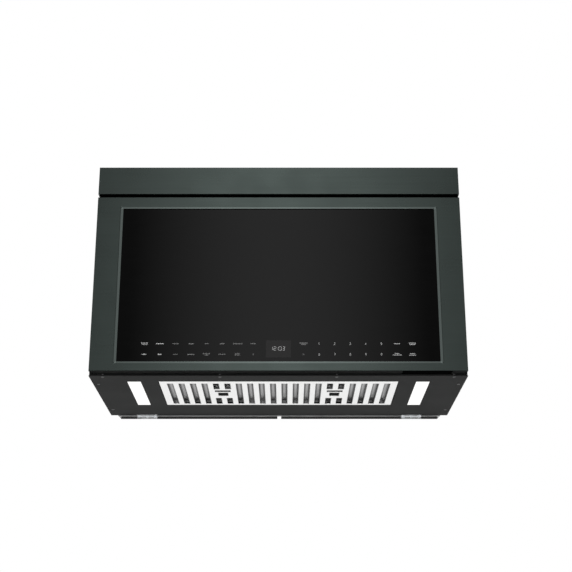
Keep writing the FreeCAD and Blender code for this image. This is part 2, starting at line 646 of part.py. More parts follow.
def roller_ring():
    """Plastic ring under the tray with three short axles pointing outwards."""
    c = (TABLE_X, TABLE_Y)
    parts = [ring("z", ROLL_AT - 8, ROLL_AT - 14, (ROLL_Z - 3, ROLL_Z + 3), c)]
    for a in (0, 120, 240):
        hub = TABLE_X + ROLL_AT
        axle = rod("x", 1.5, (hub - 10, hub + 4.2), (TABLE_Y, ROLL_Z))
        boss = rod("x", 3.0, (hub - 9, hub - 3.4), (TABLE_Y, ROLL_Z))
        cap = rod("x", 2.4, (TABLE_X + ROLL_AT + 3.4, TABLE_X + ROLL_AT + 4.6), (TABLE_Y, ROLL_Z))
        arm = fuse([axle, boss, cap])
        arm.rotate(V(TABLE_X, TABLE_Y, 0), V(0, 0, 1), a)
        parts.append(arm)
    return fuse(parts)


def roller(angle):
    """Small wheel on one of the ring's axles."""
    x = (TABLE_X + ROLL_AT - 3, TABLE_X + ROLL_AT + 3)
    wheel = rod("x", ROLL_R, x, (TABLE_Y, ROLL_Z))
    wheel = wheel.cut(rod("x", 1.5 + RUNNING, (x[0] - 1, x[1] + 1), (TABLE_Y, ROLL_Z)))
    wheel.rotate(V(TABLE_X, TABLE_Y, 0), V(0, 0, 1), angle)
    return wheel


# ---------------------------------------------------------------- magnetron bay
def magnetron():
    """Magnetron: mounting plate, antenna, yoke, cooling fins and filter box."""
    c = (MAG_Y, MAG_Z)
    x = GUIDE_X + GUIDE_W
    parts = [box((x, x + 2), (MAG_Y - 47, MAG_Y + 47), (MAG_Z - 40, MAG_Z + 38))]
    parts.append(rod("x", 8.0, (x - 15, x + 4), c))
    yoke = tube_y((x + 2, x + 70), (MAG_Z - 36, MAG_Z + 34), 2.0, (MAG_Y - 38, MAG_Y + 38))
    parts.append(yoke)
    parts.append(rod("x", 13, (x + 2, x + 69), c))
    for a in (x + 2, x + 56):
        parts.append(rod("x", 27, (a, a + 13), c))
    for i in range(5):
        a = x + 20 + 8.0 * i
        parts.append(box((a, a + 0.9), (MAG_Y - 36, MAG_Y + 36), (MAG_Z - 35, MAG_Z + 33)))
    parts.append(box((x + 70, x + 100), (MAG_Y - 26, MAG_Y + 26), (MAG_Z - 30, MAG_Z + 28)))
    return fuse(parts)


def inverter_board():
    """High-voltage supply board with its transformer and capacitors."""
    x, y, z = SUPPLY_X, (-262.0, -118.0), SUPPLY_Z
    parts = [box(x, y, (z, z + 1.6))]
    parts.append(box((x[0] + 6, x[0] + 48), (-195, -140), (z + 1.6, z + 48)))
    parts.append(box((x[0] + 1, x[0] + 53), (-181, -154), (z + 8, z + 40)))
    for i in range(2):
        parts.append(rod("z", 9, (z + 1.6, z + 27), (x[0] + 14 + 24.0 * i, -240)))
    parts.append(box((x[0] + 56, x[0] + 91), (-136, -122), (z + 1.6, z + 16)))
    for px in (x[0] + 6, x[1] - 6):
        for py in (y[0] + 6, y[1] - 6):
            parts.append(post("z", 3, (PANEL, z + 0.5), (px, py)))
    return fuse(parts)


def inverter_heatsink():
    """Finned aluminium block on the supply board."""
    z = SUPPLY_Z + 1.6
    left = SUPPLY_X[0] + 54
    parts = [box((left, left + 40), (-228, -150), (z, z + 6))]
    for i in range(8):
        x = left + 5.45 * i
        parts.append(box((x, x + 1.8), (-228, -150), (z + 6, z + 34)))
    return fuse(parts)


def fan_housing():
    """Square fan frame with a round duct and struts that carry the motor."""
    c = (FAN_X, FAN_Z)
    plate = box((FAN_X - 57, FAN_X + 57), (-80, -78.5), (FAN_Z - 57, FAN_Z + 57))
    plate = plate.makeFillet(6.0, edges_along(plate, 1))
    duct = rod("y", FAN_R + 4, (-80, -50), c)
    hollow = rod("y", FAN_R + 2.2, (-81, -49), c)
    shell = fuse([plate, duct]).cut(hollow)
    parts = [shell, ring("y", 20, 15, (-52, -48), c)]
    for a in (45, 135, 225, 315):
        bar = box((FAN_X + 17, FAN_X + FAN_R + 3), (-52, -48), (FAN_Z - 2.5, FAN_Z + 2.5))
        bar.rotate(V(FAN_X, 0, FAN_Z), V(0, 1, 0), a)
        parts.append(bar)
    for x in (FAN_X - 52, FAN_X + 44):
        foot = box((x, x + 8), (-80, CASE_BACK_Y - SHEET), (FAN_Z - 57, FAN_Z - 55.5))
        parts.append(foot)
    return fuse(parts)


def fan_motor():
    c = (FAN_X, FAN_Z)
    can = rod("y", 21, (-48, -24), c)
    core = box((FAN_X - 26, FAN_X + 26), (-43, -29), (FAN_Z - 24, FAN_Z + 24))
    core = core.makeFillet(3.0, edges_along(core, 1))
    motor = fuse([can, core])
    return motor.cut(rod("y", FAN_SHAFT_R + RUNNING, (-49, -29), c))


def fan_blades():
    """Five twisted blades on a hub with its shaft."""
    c = (FAN_X, FAN_Z)
    parts = [rod("y", 13, (-74, -56), c), rod("y", FAN_SHAFT_R, (-57, -31), c)]
    tip = rod("y", FAN_R, (-79, -52.6), c)
    for i in range(5):
        blade = box((FAN_X + 10, FAN_X + 56), (-65.6, -64.4), (FAN_Z - 15, FAN_Z + 15))
        blade.rotate(V(FAN_X, -65, FAN_Z), V(1, 0, 0), 32)
        blade.rotate(V(FAN_X, -65, FAN_Z), V(0, 1, 0), 72 * i)
        parts.append(blade.common(tip))
    return fuse(parts)


def main_board():
    """Control and relay board on posts inside the right-hand side of the wrapper."""
    x = MAIN_BOARD_X
    y, z = MAIN_BOARD_Y, (40.0, 190.0)
    front = y[0]
    parts = [box((x, x + 1.6), y, z)]
    for i in range(3):
        parts.append(box((x - 17, x), (front + 6, front + 24), (52 + 30.0 * i, 76 + 30.0 * i)))
    parts.append(box((x - 22, x), (front + 36, front + 72), (52, 92)))
    for i in range(2):
        parts.append(rod("x", 7, (x - 18, x), (front + 47 + 22.0 * i, 112)))
    parts.append(box((x - 9, x), (front + 32, front + 76), (134, 148)))
    parts.append(box((x - 14, x), (front + 84, front + 98), (172, 188)))
    for py in (y[0] + 6, y[1] - 6):
        for pz in (z[0] + 6, z[1] - 6):
            parts.append(post("x", 3, (x + 1, CASE_IN), (py, pz)))
    return fuse(parts)


def noise_filter():
    """Mains filter on a bracket from the back panel: coil, capacitor and fuse."""
    back = CASE_BACK_Y - SHEET
    x, z = NOISE_X, NOISE_Z
    parts = [box(x, (-112, back), (z, z + 1))]
    parts.append(box(x, (back - 1, back), (z + 1, z + 16)))
    parts.append(box((x[0] + 4, x[1] - 4), (-108, -34), (z + 1, z + 4)))
    parts.append(ring("z", 15, 7, (z + 4, z + 18), (x[0] + 24, -70)))
    parts.append(box((x[1] - 28, x[1] - 10), (-92, -66), (z + 4, z + 20)))
    parts.append(rod("x", 3.2, (x[0] + 10, x[0] + 38), (-98, z + 7)))
    parts.append(box((x[1] - 22, x[1] - 6), (-108, -98), (z + 4, z + 14)))
    return fuse(parts)


def cavity_lamp():
    """Small lamp in a holder outside the cavity wall."""
    x = GUIDE_X
    y = CAV_Y[0] + 36
    z = CAV_Z[1] - 32
    plate = box((x, x + 1), (y - 24, y + 24), (z - 16, z + 16))
    holder = rod("x", 8, (x + 21, x + 34), (y, z))
    bulb = rod("x", 6.5, (x + 8, x + 22), (y, z))
    leg = box((x + 1, x + 34), (y + 10.2, y + 12), (z - 8, z + 8))
    arm = box((x + 26, x + 34), (y + 6, y + 12), (z - 6, z + 6))
    return fuse([plate, holder, bulb, leg, arm])


def latch_board():
    """Plastic carrier behind the front plate: catches for the hooks and the lever's pin."""
    y0 = PLATE_Y + PANEL
    x = LATCH_X
    tall = (HOOK_ZS[0] - 25, HOOK_ZS[1] + 35)
    parts = [box((x + 6.5, x + 9.5), (y0, y0 + 36), tall)]
    parts.append(box((x + 6.5, x + 24), (y0, y0 + 3), tall))
    for z in HOOK_ZS:
        parts.append(box((x - 6, x + 7), (y0 + 5, y0 + 26), (z - 11, z - 7)))
    parts.append(rod("x", 1.5, (x - 3, x + 7), (HOOK_TIP_Y + 4, LEVER_Z)))
    return fuse(parts)


def interlock_switches():
    """Three snap switches on the carrier."""
    found = []
    x = LATCH_X + 9.5
    y = PLATE_Y + 7
    for z in (HOOK_ZS[0] - 18, HOOK_ZS[0] + 20, HOOK_ZS[1] - 4):
        body = box((x, x + 10), (y, y + 27), (z, z + 16))
        blades = box((x + 3.5, x + 6.5), (y + 27, y + 34), (z + 3, z + 5))
        blades2 = box((x + 3.5, x + 6.5), (y + 27, y + 34), (z + 11, z + 13))
        found.append(fuse([body, blades, blades2]))
    return group(found)


def interlock_lever():
    """Lever that the upper hook pushes to work the switch."""
    x = (LATCH_X - 2, LATCH_X + 2)
    pin = (HOOK_TIP_Y + 4, LEVER_Z)
    bar = box(x, (HOOK_TIP_Y + 0.5, HOOK_TIP_Y + 5.5), (LEVER_Z - 30, LEVER_Z))
    eye = rod("x", 4.0, x, pin)
    return fuse([bar, eye]).cut(rod("x", 1.5 + RUNNING, (x[0] - 1, x[1] + 1), pin))


def wiring_leads():
    """Insulated leads: mains filter to control board, and supply board to magnetron."""
    x, z = NOISE_X[1] - 14, NOISE_Z + 9
    end = MAIN_BOARD_Y[1] - 2
    first = lead([(x, -108, z), (x, -135, z), (x, -135, 180), (x, end, 180)], 2.0, 9.0)
    x = SUPPLY_X[0] + 27
    z = SUPPLY_Z + 48
    end = GUIDE_X + GUIDE_W + 86
    second = lead([(x, -148, z), (x, -148, z + 48), (end, -148, z + 48), (end, -148, MAG_Z - 30)],
                  2.4, 12.0)
    return group([first, second])


# ---------------------------------------------------------------- lamps and grease filter
def led_lenses():
    """Two white lenses in the base, each with a flange that rests on the sheet."""
    x = (LENS_X - LENS_W / 2, LENS_X + LENS_W / 2)
    body = box(x, LENS_Y, (0.1, PANEL))
    flange = box((x[0] - 3, x[1] + 3), (LENS_Y[0] - 3, LENS_Y[1] + 3), (PANEL, 3.0))
    return group(mirrored(fuse([body, flange])))


def led_boards():
    """Strips of light-emitting diodes above the lenses, on short posts."""
    x = (LENS_X - 10, LENS_X + 10)
    y = (LENS_Y[0] + 8, LENS_Y[1] - 8)
    parts = [box(x, y, (12, 13.2))]
    for i in range(8):
        at = y[0] + 12 + (y[1] - y[0] - 24) * i / 7
        parts.append(box((LENS_X - 2, LENS_X + 2), (at - 2, at + 2), (11, 12)))
    for at in (y[0] + 4, y[1] - 4):
        parts.append(post("z", 2.2, (3.0, 12.4), (LENS_X, at)))
    return group(mirrored(fuse(parts)))


def slot_centre(n):
    """Middle of slot column n, counted from the centre line outwards."""
    return SLOT_PITCH * (n + 0.5)


def filter_face():
    """Slotted face sheet of the grease filter, folded up into a rim."""
    x = (-FILTER_HALF_W, FILTER_HALF_W)
    z = (0.2, 0.2 + FILTER_H)
    block = box(x, FILTER_Y, z)
    low = edges_along(block, 0, lambda p: p.z < 1) + edges_along(block, 1, lambda p: p.z < 1)
    block = block.makeFillet(0.8, low)
    inside = box((x[0] + 1, x[1] - 1), (FILTER_Y[0] + 1, FILTER_Y[1] - 1), (z[0] + 1, z[1] + 1))
    holes = [inside]
    front, rear = FILTER_Y
    for n in range(SLOT_COLUMNS):
        c = slot_centre(n)
        runs = [SLOT_Y]
        if n in LATCH_COLUMNS:
            runs = [(SLOT_Y[0], front + 60.4), (rear - 61.2, SLOT_Y[1])]
        for run in runs:
            holes += mirrored(box((c - SLOT_W / 2, c + SLOT_W / 2), run, (-1, 3)))
    c = FILTER_LATCH_X
    holes += mirrored(box((c - 16.5, c + 16.5), (front + 69.7, front + 85.1), (-1, 3)))
    holes += mirrored(box((c - 10.75, c + 10.75), (front + 89.0, front + 117.5), (-1, 3)))
    holes += mirrored(box((c - 3.6, c + 3.6), (FILTER_Y[0] - 1, FILTER_Y[0] + 2), (2.6, 5.2)))
    pins = mirrored(rod("x", FILTER_PIN_R, (x[1] - 0.5, x[1] + FILTER_GAP + 1.4), FILTER_PIVOT))
    return fuse([cut(block, holes)] + pins)


def arch(c, y, foot=3.2):
    """One curved baffle over a slot column; a higher foot clears the latch under it."""
    top, rise, half = 10.3, 7.1, 8.4
    r = (half * half + rise * rise) / (2 * rise)
    z = top - r
    solid = ring("y", r, r - 0.8, y, (c, z))
    return solid.common(box((c - 12, c + 12), (y[0] - 1, y[1] + 1), (foot, top + 1)))


def filter_baffles():
    """Curved channels behind the slots, joined by two end strips."""
    w = FILTER_HALF_W - 1
    front, rear = FILTER_Y
    ends = ((front + 1, front + 11.3), (rear - 9.1, rear - 1))
    parts = [box((-w, w), e, (9.3, 10.3)) for e in ends]
    for n in range(SLOT_COLUMNS):
        runs = [(front + 10.3, rear - 8.1)]
        if n in LATCH_COLUMNS:
            runs = [(front + 10.3, front + 53.3), (rear - 63.1, rear - 8.1)]
            parts += mirrored(arch(slot_centre(n), (front + 53, front + 81.5), 5.2))
        for run in runs:
            parts += mirrored(arch(slot_centre(n), run))
    return fuse(parts)


def filter_latch(side):
    """Sliding latch: tongue, recessed front plate, side rails and a finger cup."""
    c = FILTER_LATCH_X
    y = FILTER_Y[0]
    front = box((c - 19, c + 19), (y + 55.3, y + 75.3), (3.2, 4.4))
    tongue = box((c - 2.75, c + 2.75), (y - 1.2, y + 55.3), (3.2, 4.4))
    rails = [box((c + s * 16.5 - 2.5, c + s * 16.5 + 2.5), (y + 75.3, y + 123.3), (3.2, 4.4))
             for s in (-1, 1)]
    cup = box((c - 15, c + 15), (y + 83.0, y + 124.5), (1.5, 9.6))
    pocket = box((c - 10.2, c + 10.2), (y + 88.4, y + 119.1), (0, 8.6))
    latch = fuse([front, tongue, cup] + rails).cut(pocket)
    return latch if side > 0 else latch.mirror(V(0, 0, 0), V(1, 0, 0))


# ---------------------------------------------------------------- door
def door_frame():
    """Metal door skin: flat frame with a bevel down to the glass, folded back at top and sides."""
    x = (-HALF_W, HALF_W)
    z = (DOOR_LOW_Z, DOOR_TOP_Z)
    block = box(x, (FRONT_Y, RETURN_Y), z)
    front = edges_along(block, 2, lambda p: p.y < FRONT_Y + 1)
    front += edges_along(block, 0, lambda p: p.y < FRONT_Y + 1)
    block = block.makeFillet(1.0, front)
    skin_y = FRONT_Y + SKIN
    hollow = box((x[0] + SKIN, x[1] - SKIN), (skin_y, 0), (z[0] - 1, z[1] - SKIN))
    ring_x = GLASS_HALF_W + BEVEL + 5
    lip = box((-ring_x, ring_x), (skin_y, LIP_REAR_Y), (GLASS_LOW_Z - 8.5, GLASS_TOP_Z + BEVEL + 5))
    shell = fuse([block.cut(hollow), lip])
    outer = rounded_wire((-GLASS_HALF_W - BEVEL, GLASS_HALF_W + BEVEL),
                         (GLASS_LOW_Z - BEVEL, GLASS_TOP_Z + BEVEL), 3.0, FRONT_Y)
    inner = rounded_wire((-GLASS_HALF_W, GLASS_HALF_W), (GLASS_LOW_Z, GLASS_TOP_Z), 1.0,
                         FRONT_Y + BEVEL_DEPTH)
    bevel = Part.makeLoft([outer, inner], True, True)
    hole = box((-GLASS_HALF_W, GLASS_HALF_W), (FRONT_Y + BEVEL_DEPTH - 0.01, 0), (GLASS_LOW_Z, GLASS_TOP_Z))
    hole = hole.makeFillet(1.0, edges_along(hole, 1))
    pin = rod("z", PIN_R + 0.6, (DOOR_TOP_Z - 9, DOOR_TOP_Z + 1), (HINGE_X, HINGE_Y))
    return cut(shell, [bevel, hole, pin])


def door_glass():
    x = GLASS_HALF_W + GLASS_EDGE
    z = (GLASS_LOW_Z - GLASS_EDGE, GLASS_TOP_Z + GLASS_EDGE)
    pane = box((-x, x), (LIP_REAR_Y, LIP_REAR_Y + GLASS_T), z)
    return pane.makeFillet(4.0, edges_along(pane, 1))


def touch_board():
    """Touch circuit and display behind the lower edge of the glass."""
    y = LIP_REAR_Y + GLASS_T
    w = GLASS_HALF_W - 37.5
    z = GLASS_LOW_Z + 4.5
    parts = [box((-w, w), (y, y + 1.2), (z, z + 50))]
    parts.append(box((-32, 32), (y + 1.2, y + 8), (z + 2, z + 40)))
    for x in (-210.0, -120.0, 110.0, 200.0):
        parts.append(box((x, x + 16), (y + 1.2, y + 3.2), (z + 6, z + 22)))
    parts.append(box((w - 38, w - 12), (y + 1.2, y + 7), (z + 28, z + 40)))
    return fuse(parts)


CHOKE_X = (CAV_X[0] - 34, CAV_X[1] + 34)
CHOKE_Z = (CAV_Z[0] - 34, CAV_Z[1] + 34)
WINDOW_X = (CAV_X[0] + 8, CAV_X[1] - 8)
WINDOW_Z = (CAV_Z[0] + 8, CAV_Z[1] - 8)
CHOKE_Y = (FRONT_Y + 17.0, FRONT_Y + 34.6)


def door_choke():
    """Steel inner door: base sheet and the folded channel that stops leakage round the cavity."""
    front, rear = CHOKE_Y
    base = box((HINGE_X + 6, HALF_W - 7.5), (front, front + 1), (24, CHOKE_Z[1] + 1))
    outer = tube_y(CHOKE_X, CHOKE_Z, 1.0, (front + 1, rear))
    inner = tube_y(WINDOW_X, WINDOW_Z, 1.0, (front + 1, rear))
    flange = tube_y(CHOKE_X, CHOKE_Z, 22.0, (rear - 1, rear))
    hole = box((WINDOW_X[0] + 1, WINDOW_X[1] - 1), (front - 1, front + 2),
               (WINDOW_Z[0] + 1, WINDOW_Z[1] - 1))
    return fuse([base, outer, inner, flange]).cut(hole)


def door_screen():
    """Perforated sheet across the window; its many small holes are left to the visual model."""
    x = (WINDOW_X[0] + 1, WINDOW_X[1] - 1)
    z = (WINDOW_Z[0] + 1, WINDOW_Z[1] - 1)
    y = CHOKE_Y[1] - 4.6
    sheet = box(x, (y, y + 0.6), z)
    rim = tube_y(x, z, 1.0, (y + 0.6, y + 3.5))
    return fuse([sheet, rim])


def door_window():
    """Clear inner pane held behind the back cover."""
    y = (CHOKE_Y[1] + 0.2, DOOR_REAR_Y - 1.8)
    pane = box((WINDOW_X[0] - 5, WINDOW_X[1] + 5), y, (WINDOW_Z[0] - 5, WINDOW_Z[1] + 5))
    return pane.makeFillet(5.0, edges_along(pane, 1))


def door_back_cover():
    """Black plastic cover over the whole rear of the door, with guides for the latch slider."""
    x = (COVER_LEFT_X, HALF_W - SKIN - 0.4)
    z = (DOOR_LOW_Z + 10.2, DOOR_TOP_Z - SKIN - 0.4)
    y = (DOOR_REAR_Y - 1.8, DOOR_REAR_Y)
    plate = box(x, y, z)
    plate = plate.makeFillet(2.0, edges_along(plate, 1))
    rim = tube_y(x, z, 1.5, (y[0] - 3.7, y[0] + 0.5)).common(box(x, (y[0] - 3.7, y[0] + 0.5), z))
    parts = [plate, rim]
    bar = SLIDER_Y
    for z0 in (HOOK_ZS[0] + 40, HOOK_ZS[1] - 50):
        guide = box((LATCH_X - 3.4, LATCH_X + 3.4), (bar[0] - 1.4, y[0]), (z0, z0 + 18))
        slot = box((LATCH_X - 2.3, LATCH_X + 2.3), (bar[0] - 0.3, bar[1] + 0.3), (z0 - 1, z0 + 19))
        parts.append(guide.cut(slot))
    parts.append(box((LATCH_X - 5, LATCH_X + 5), (bar[0] - 1, y[0]), (SPRING_Z[1], SPRING_Z[1] + 3)))
    body = fuse(parts)
    holes = [box(WINDOW_X, (y[0] - 0.7, 0), WINDOW_Z)]
    for h in HOOK_ZS:
        holes.append(box((LATCH_X - 3.5, LATCH_X + 3.5), (y[0] - 0.7, 0), (h - 4.5, h + HOOK_H + 5.5)))
    return cut(body, holes)


def door_base_trim():
    """Black strip that closes the door's underside, with the finger pocket that opens the door."""
    front = FRONT_Y + SKIN
    rear = DOOR_REAR_Y - 0.3
    x = HALF_W - SKIN - 0.2
    z = DOOR_LOW_Z
    parts = [box((-x, x), (front, rear), (z, z + 1.5))]
    parts.append(box((-x, x), (front, front + 1.2), (z + 1.5, z + 9.2)))
    parts.append(box((-x, x), (rear - 1.5, rear), (z + 1.5, z + 10)))
    px = POCKET_X
    parts.append(box((px[0] - 1.2, px[1] + 1.2), (front, POCKET_REAR_Y + 1.2), (z, POCKET_TOP_Z + 1.2)))
    body = fuse(parts)
    pocket = box(px, (front + 0.6, POCKET_REAR_Y), (z - 1, POCKET_TOP_Z))
    soft = pocket.makeFillet(3.0, edges_along(pocket, 0, lambda p: p.z > z))
    pin = rod("z", PIN_R + 0.6, (z - 1, z + 4), (HINGE_X, HINGE_Y))
    corner = box((-HALF_W, COVER_LEFT_X), (DOOR_REAR_Y - 5, 0), (z - 1, z + 20))
    return cut(body, [soft, pin, corner])


def latch_slider():
    """Upright bar with the two hooks that hold the door shut."""
    half = HOOK_W / 2
    x = (LATCH_X - half, LATCH_X + half)
    parts = [box(x, SLIDER_Y, (HOOK_ZS[0] - 12, SPRING_Z[0]))]
    root = SLIDER_Y[1] - 1
    for z in HOOK_ZS:
        outline = [(root, z), (HOOK_TIP_Y - 5, z), (HOOK_TIP_Y - 5, z - 3), (HOOK_TIP_Y - 2.4, z - 3),
                   (HOOK_TIP_Y, z + 1.5), (HOOK_TIP_Y, z + HOOK_H - 2), (HOOK_TIP_Y - 3, z + HOOK_H),
                   (root, z + HOOK_H)]
        parts.append(plate_yz(outline, x))
    return fuse(parts)


def latch_spring():
    """Space of the coil spring between the slider's top end and its stop, hidden in the door."""
    middle = (SLIDER_Y[0] + SLIDER_Y[1]) / 2
    return ring("z", 3.6, 2.6, SPRING_Z, (LATCH_X, middle))


def hinge_plates():
    """Lower and upper hinge arms through the front plate, each with its pin."""
    c = (HINGE_X, HINGE_Y)
    x = (HINGE_X - 3.5, HINGE_X + 21.0)
    behind = PLATE_Y + PANEL
    y = (HINGE_Y - 6.5, behind + 1.2)
    low = box(x, y, (LOW_ARM_Z, LOW_ARM_Z + HINGE_ARM_T))
    low = low.makeFillet(3.0, edges_along(low, 2, lambda p: p.y < HINGE_Y))
    low_tab = box(x, (behind, behind + 1.2), (LOW_ARM_Z, LOW_ARM_Z + 16))
    low_pin = rod("z", PIN_R, (LOW_ARM_Z + 1, DOOR_LOW_Z + 10.2), c)
    high = box(x, y, (HIGH_ARM_Z, HIGH_ARM_Z + HINGE_ARM_T))
    high = high.makeFillet(3.0, edges_along(high, 2, lambda p: p.y < HINGE_Y))
    high_tab = box(x, (behind, behind + 1.2), (HIGH_ARM_Z, HIGH_ARM_Z + 14))
    high_pin = rod("z", PIN_R, (DOOR_TOP_Z - 10, HIGH_ARM_Z + 1), c)
    return group([fuse([low, low_tab, low_pin]), fuse([high, high_tab, high_pin])])


def hinge_bushings():
    """Plastic sleeves in the door that turn on the pins."""
    c = (HINGE_X, HINGE_Y)
    low = DOOR_LOW_Z + 1.5
    high = DOOR_TOP_Z - SKIN
    first = ring("z", 5.0, BUSH_R, (low, low + 9.2), c)
    second = ring("z", 5.0, BUSH_R, (high - 9.8, high), c)
    return group([first, second])


# ---------------------------------------------------------------- fasteners
def base_screws():
    found = []
    for x, y in LIP_SCREWS + SIDE_SCREWS:
        found += mirrored(screw(x, y, 0.0, 3.2, 1.1, 5.5))
    return group(found)


def case_screws():
    """Screws through the wrapper's top into the front plate region and through the back panel."""
    found = []
    outer = HALF_W - 49.5
    for x in (-outer, -outer / 3, outer / 3, outer):
        for z in (30.0, TOP_Z - 21):
            found.append(post("y", 4.0, (CASE_BACK_Y, CASE_BACK_Y + 0.9), (x, z)))
    for x in (-150.0, 150.0):
        found.append(post("z", 4.0, (TOP_Z, TOP_Z + 1.4), (x, FRONT_Y + 22)))
    return group(found)


PARTS = {
    "wall_plate": wall_plate, "support_tabs": support_tabs, "outer_wrapper": outer_wrapper,
    "back_panel": back_panel, "base_panel": base_panel, "front_plate": front_plate,
    "top_fascia": top_fascia, "vent_grille": vent_grille, "damper_frame": damper_frame,
    "damper_flap": damper_flap, "cable_grommet": cable_grommet, "charcoal_filter": charcoal_filter,
    "blower_housing": blower_housing, "blower_wheels": blower_wheels, "blower_shaft": blower_shaft,
    "vent_motor": vent_motor, "motor_bracket": motor_bracket, "cavity": cavity,
    "waveguide": waveguide, "waveguide_cover": waveguide_cover, "turntable_motor": turntable_motor,
    "turntable_coupler": turntable_coupler, "glass_tray": glass_tray, "roller_ring": roller_ring,
    "roller_1": lambda: roller(0), "roller_2": lambda: roller(120), "roller_3": lambda: roller(240),
    "magnetron": magnetron, "inverter_board": inverter_board, "inverter_heatsink": inverter_heatsink,
    "fan_housing": fan_housing, "fan_motor": fan_motor, "fan_blades": fan_blades,
    "main_board": main_board, "noise_filter": noise_filter, "cavity_lamp": cavity_lamp,
    "latch_board": latch_board, "interlock_switches": interlock_switches,
    "interlock_lever": interlock_lever, "wiring_leads": wiring_leads, "led_lenses": led_lenses,
    "led_boards": led_boards, "filter_face": filter_face, "filter_baffles": filter_baffles,
    "filter_latch_right": lambda: filter_latch(1), "filter_latch_left": lambda: filter_latch(-1),
    "door_frame": door_frame, "door_glass": door_glass, "touch_board": touch_board,
    "door_choke": door_choke, "door_screen": door_screen, "door_window": door_window,
    "door_back_cover": door_back_cover, "door_base_trim": door_base_trim,
    "latch_slider": latch_slider, "latch_spring": latch_spring, "hinge_plates": hinge_plates,
    "hinge_bushings": hinge_bushings, "base_screws": base_screws, "case_screws": case_screws,
}

os.makedirs("parts", exist_ok=True)
for name, make in PARTS.items():
    shape = make()
    solids = shape.Solids
    bad = [s for s in solids if not s.isValid() or s.Volume <= 0]
    print(name, "solids", len(solids), "bad", len(bad), "volume", round(shape.Volume / 1000, 2))
    shape.exportStep("parts/" + name + ".step")
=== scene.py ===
import bpy
import bmesh
import json
import math
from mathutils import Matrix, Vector


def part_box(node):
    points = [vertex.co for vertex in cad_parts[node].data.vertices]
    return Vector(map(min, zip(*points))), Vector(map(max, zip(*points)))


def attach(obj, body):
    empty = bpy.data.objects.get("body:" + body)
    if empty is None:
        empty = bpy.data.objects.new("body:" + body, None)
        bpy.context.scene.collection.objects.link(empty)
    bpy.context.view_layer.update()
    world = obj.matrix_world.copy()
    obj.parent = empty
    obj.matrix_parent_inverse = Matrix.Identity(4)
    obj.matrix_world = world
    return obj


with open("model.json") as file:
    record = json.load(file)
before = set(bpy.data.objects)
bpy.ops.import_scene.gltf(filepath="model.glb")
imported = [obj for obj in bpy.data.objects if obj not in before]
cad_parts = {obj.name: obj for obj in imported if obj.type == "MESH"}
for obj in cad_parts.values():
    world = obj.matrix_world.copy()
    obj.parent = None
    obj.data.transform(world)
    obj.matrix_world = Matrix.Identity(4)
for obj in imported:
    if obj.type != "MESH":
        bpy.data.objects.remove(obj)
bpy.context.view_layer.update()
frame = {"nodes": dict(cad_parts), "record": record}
nodes = frame["nodes"]
scene = bpy.context.scene
MM = 0.001

# ------------------------------------------------------------------ camera
EYE = (0.01529, -2.6739, -0.63755)
EYE_TILT = 109.559          # degrees from straight down

cam_data = bpy.data.cameras.new("camera")
cam_data.lens = 75.94
cam_data.sensor_width = 36.0
cam = bpy.data.objects.new("camera", cam_data)
cam.location = EYE
cam.rotation_euler = (math.radians(EYE_TILT), 0.0, 0.0)
scene.collection.objects.link(cam)
scene.camera = cam
scene.view_settings.view_transform = "Standard"

# ------------------------------------------------------------------ zones of the finishes, in millimetres
# the cut metal round the door glass, which carries a painted highlight
GLASS_HALF_W = 325.4
GLASS_TOP, GLASS_LOW = 360.7, 29.5
CUT_BACK = -343.6           # the cut's painted highlight lies in front of this plane
CUT_INNER, CUT_OUTER = 4.5, 5.3     # it fades out between these distances from the glass
CUT_RISE = 1.25             # distances above and below the glass count this much more
SEAL_Z, SEAL_HALF_H = 361.2, 0.6
# the finger pocket in the moulding under the door, where shade is painted
POCKET_X, POCKET_HALF_W, POCKET_BACK = 298.8, 50.3, -321.5
# the grease filter
SLOT_PITCH = 23.43
SLOT_SHIFT, SLOT_HALF_W = 0.45, 6.35    # a slot with the lines of painted shade along its edges
SLOT_Y, SLOT_HALF_L = -197.5, 85.2
SLOTS_HALF_W = 234.0
LATCH_X = 117.15            # middle of each latch, five slots out
RUN_Y, RUN_HALF_L = -200.75, 36.65  # where the face between the latch's two runs has no slots
# the perforated screen in the door: its staggered holes repeat in fields of two rows
HOLE_PITCH = 2.4
FIELD_RATIO = 1.732         # a field's height over its width, which is the pitch
FIELDS_PER_PITCH = 0.577


# ------------------------------------------------------------------ node helpers
def emptied(data):
    """Node tree of a world or a material, with nothing in it."""
    data.use_nodes = True
    data.node_tree.nodes.clear()
    return data.node_tree


def add(tree, kind, links=None, **props):
    """A shader node; links maps an input's name or number to a value or to another node's output."""
    node = tree.nodes.new("ShaderNode" + kind)
    for key, value in props.items():
        setattr(node, key, value)
    for key, value in (links or {}).items():
        put(tree, node.inputs[key], value)
    return node


def put(tree, socket, value):
    """Links another node's output to the socket or sets its number, vector or colour."""
    if isinstance(value, bpy.types.NodeSocket):
        tree.links.new(value, socket)
    elif socket.type == "RGBA" and len(value) == 3:
        socket.default_value = (*value, 1.0)
    else:
        socket.default_value = value


def calc(tree, operation, a, b=0.0, c=0.0):
    """Output of a Math node on numbers or other nodes' outputs."""
    return add(tree, "Math", {0: a, 1: b, 2: c}, operation=operation).outputs[0]


def product(tree, *factors):
    """All factors multiplied; of masks it leaves what lies under every one."""
    out = factors[0]
    for factor in factors[1:]:
        out = calc(tree, "MULTIPLY", out, factor)
    return out


def distance(tree, a, b):
    """Length of the vector with the components a and b."""
    return calc(tree, "SQRT", calc(tree, "ADD", product(tree, a, a), product(tree, b, b)))


def below(tree, value, limit):
    """Mask of where value is under limit."""
    return calc(tree, "LESS_THAN", value, limit)


def beyond(tree, value, limit):
    """Mask of where value is over limit."""
    return calc(tree, "GREATER_THAN", value, limit)


def near(tree, value, centre, reach):
    """Mask of where value is no further than reach from centre."""
    return calc(tree, "COMPARE", value, centre, reach)


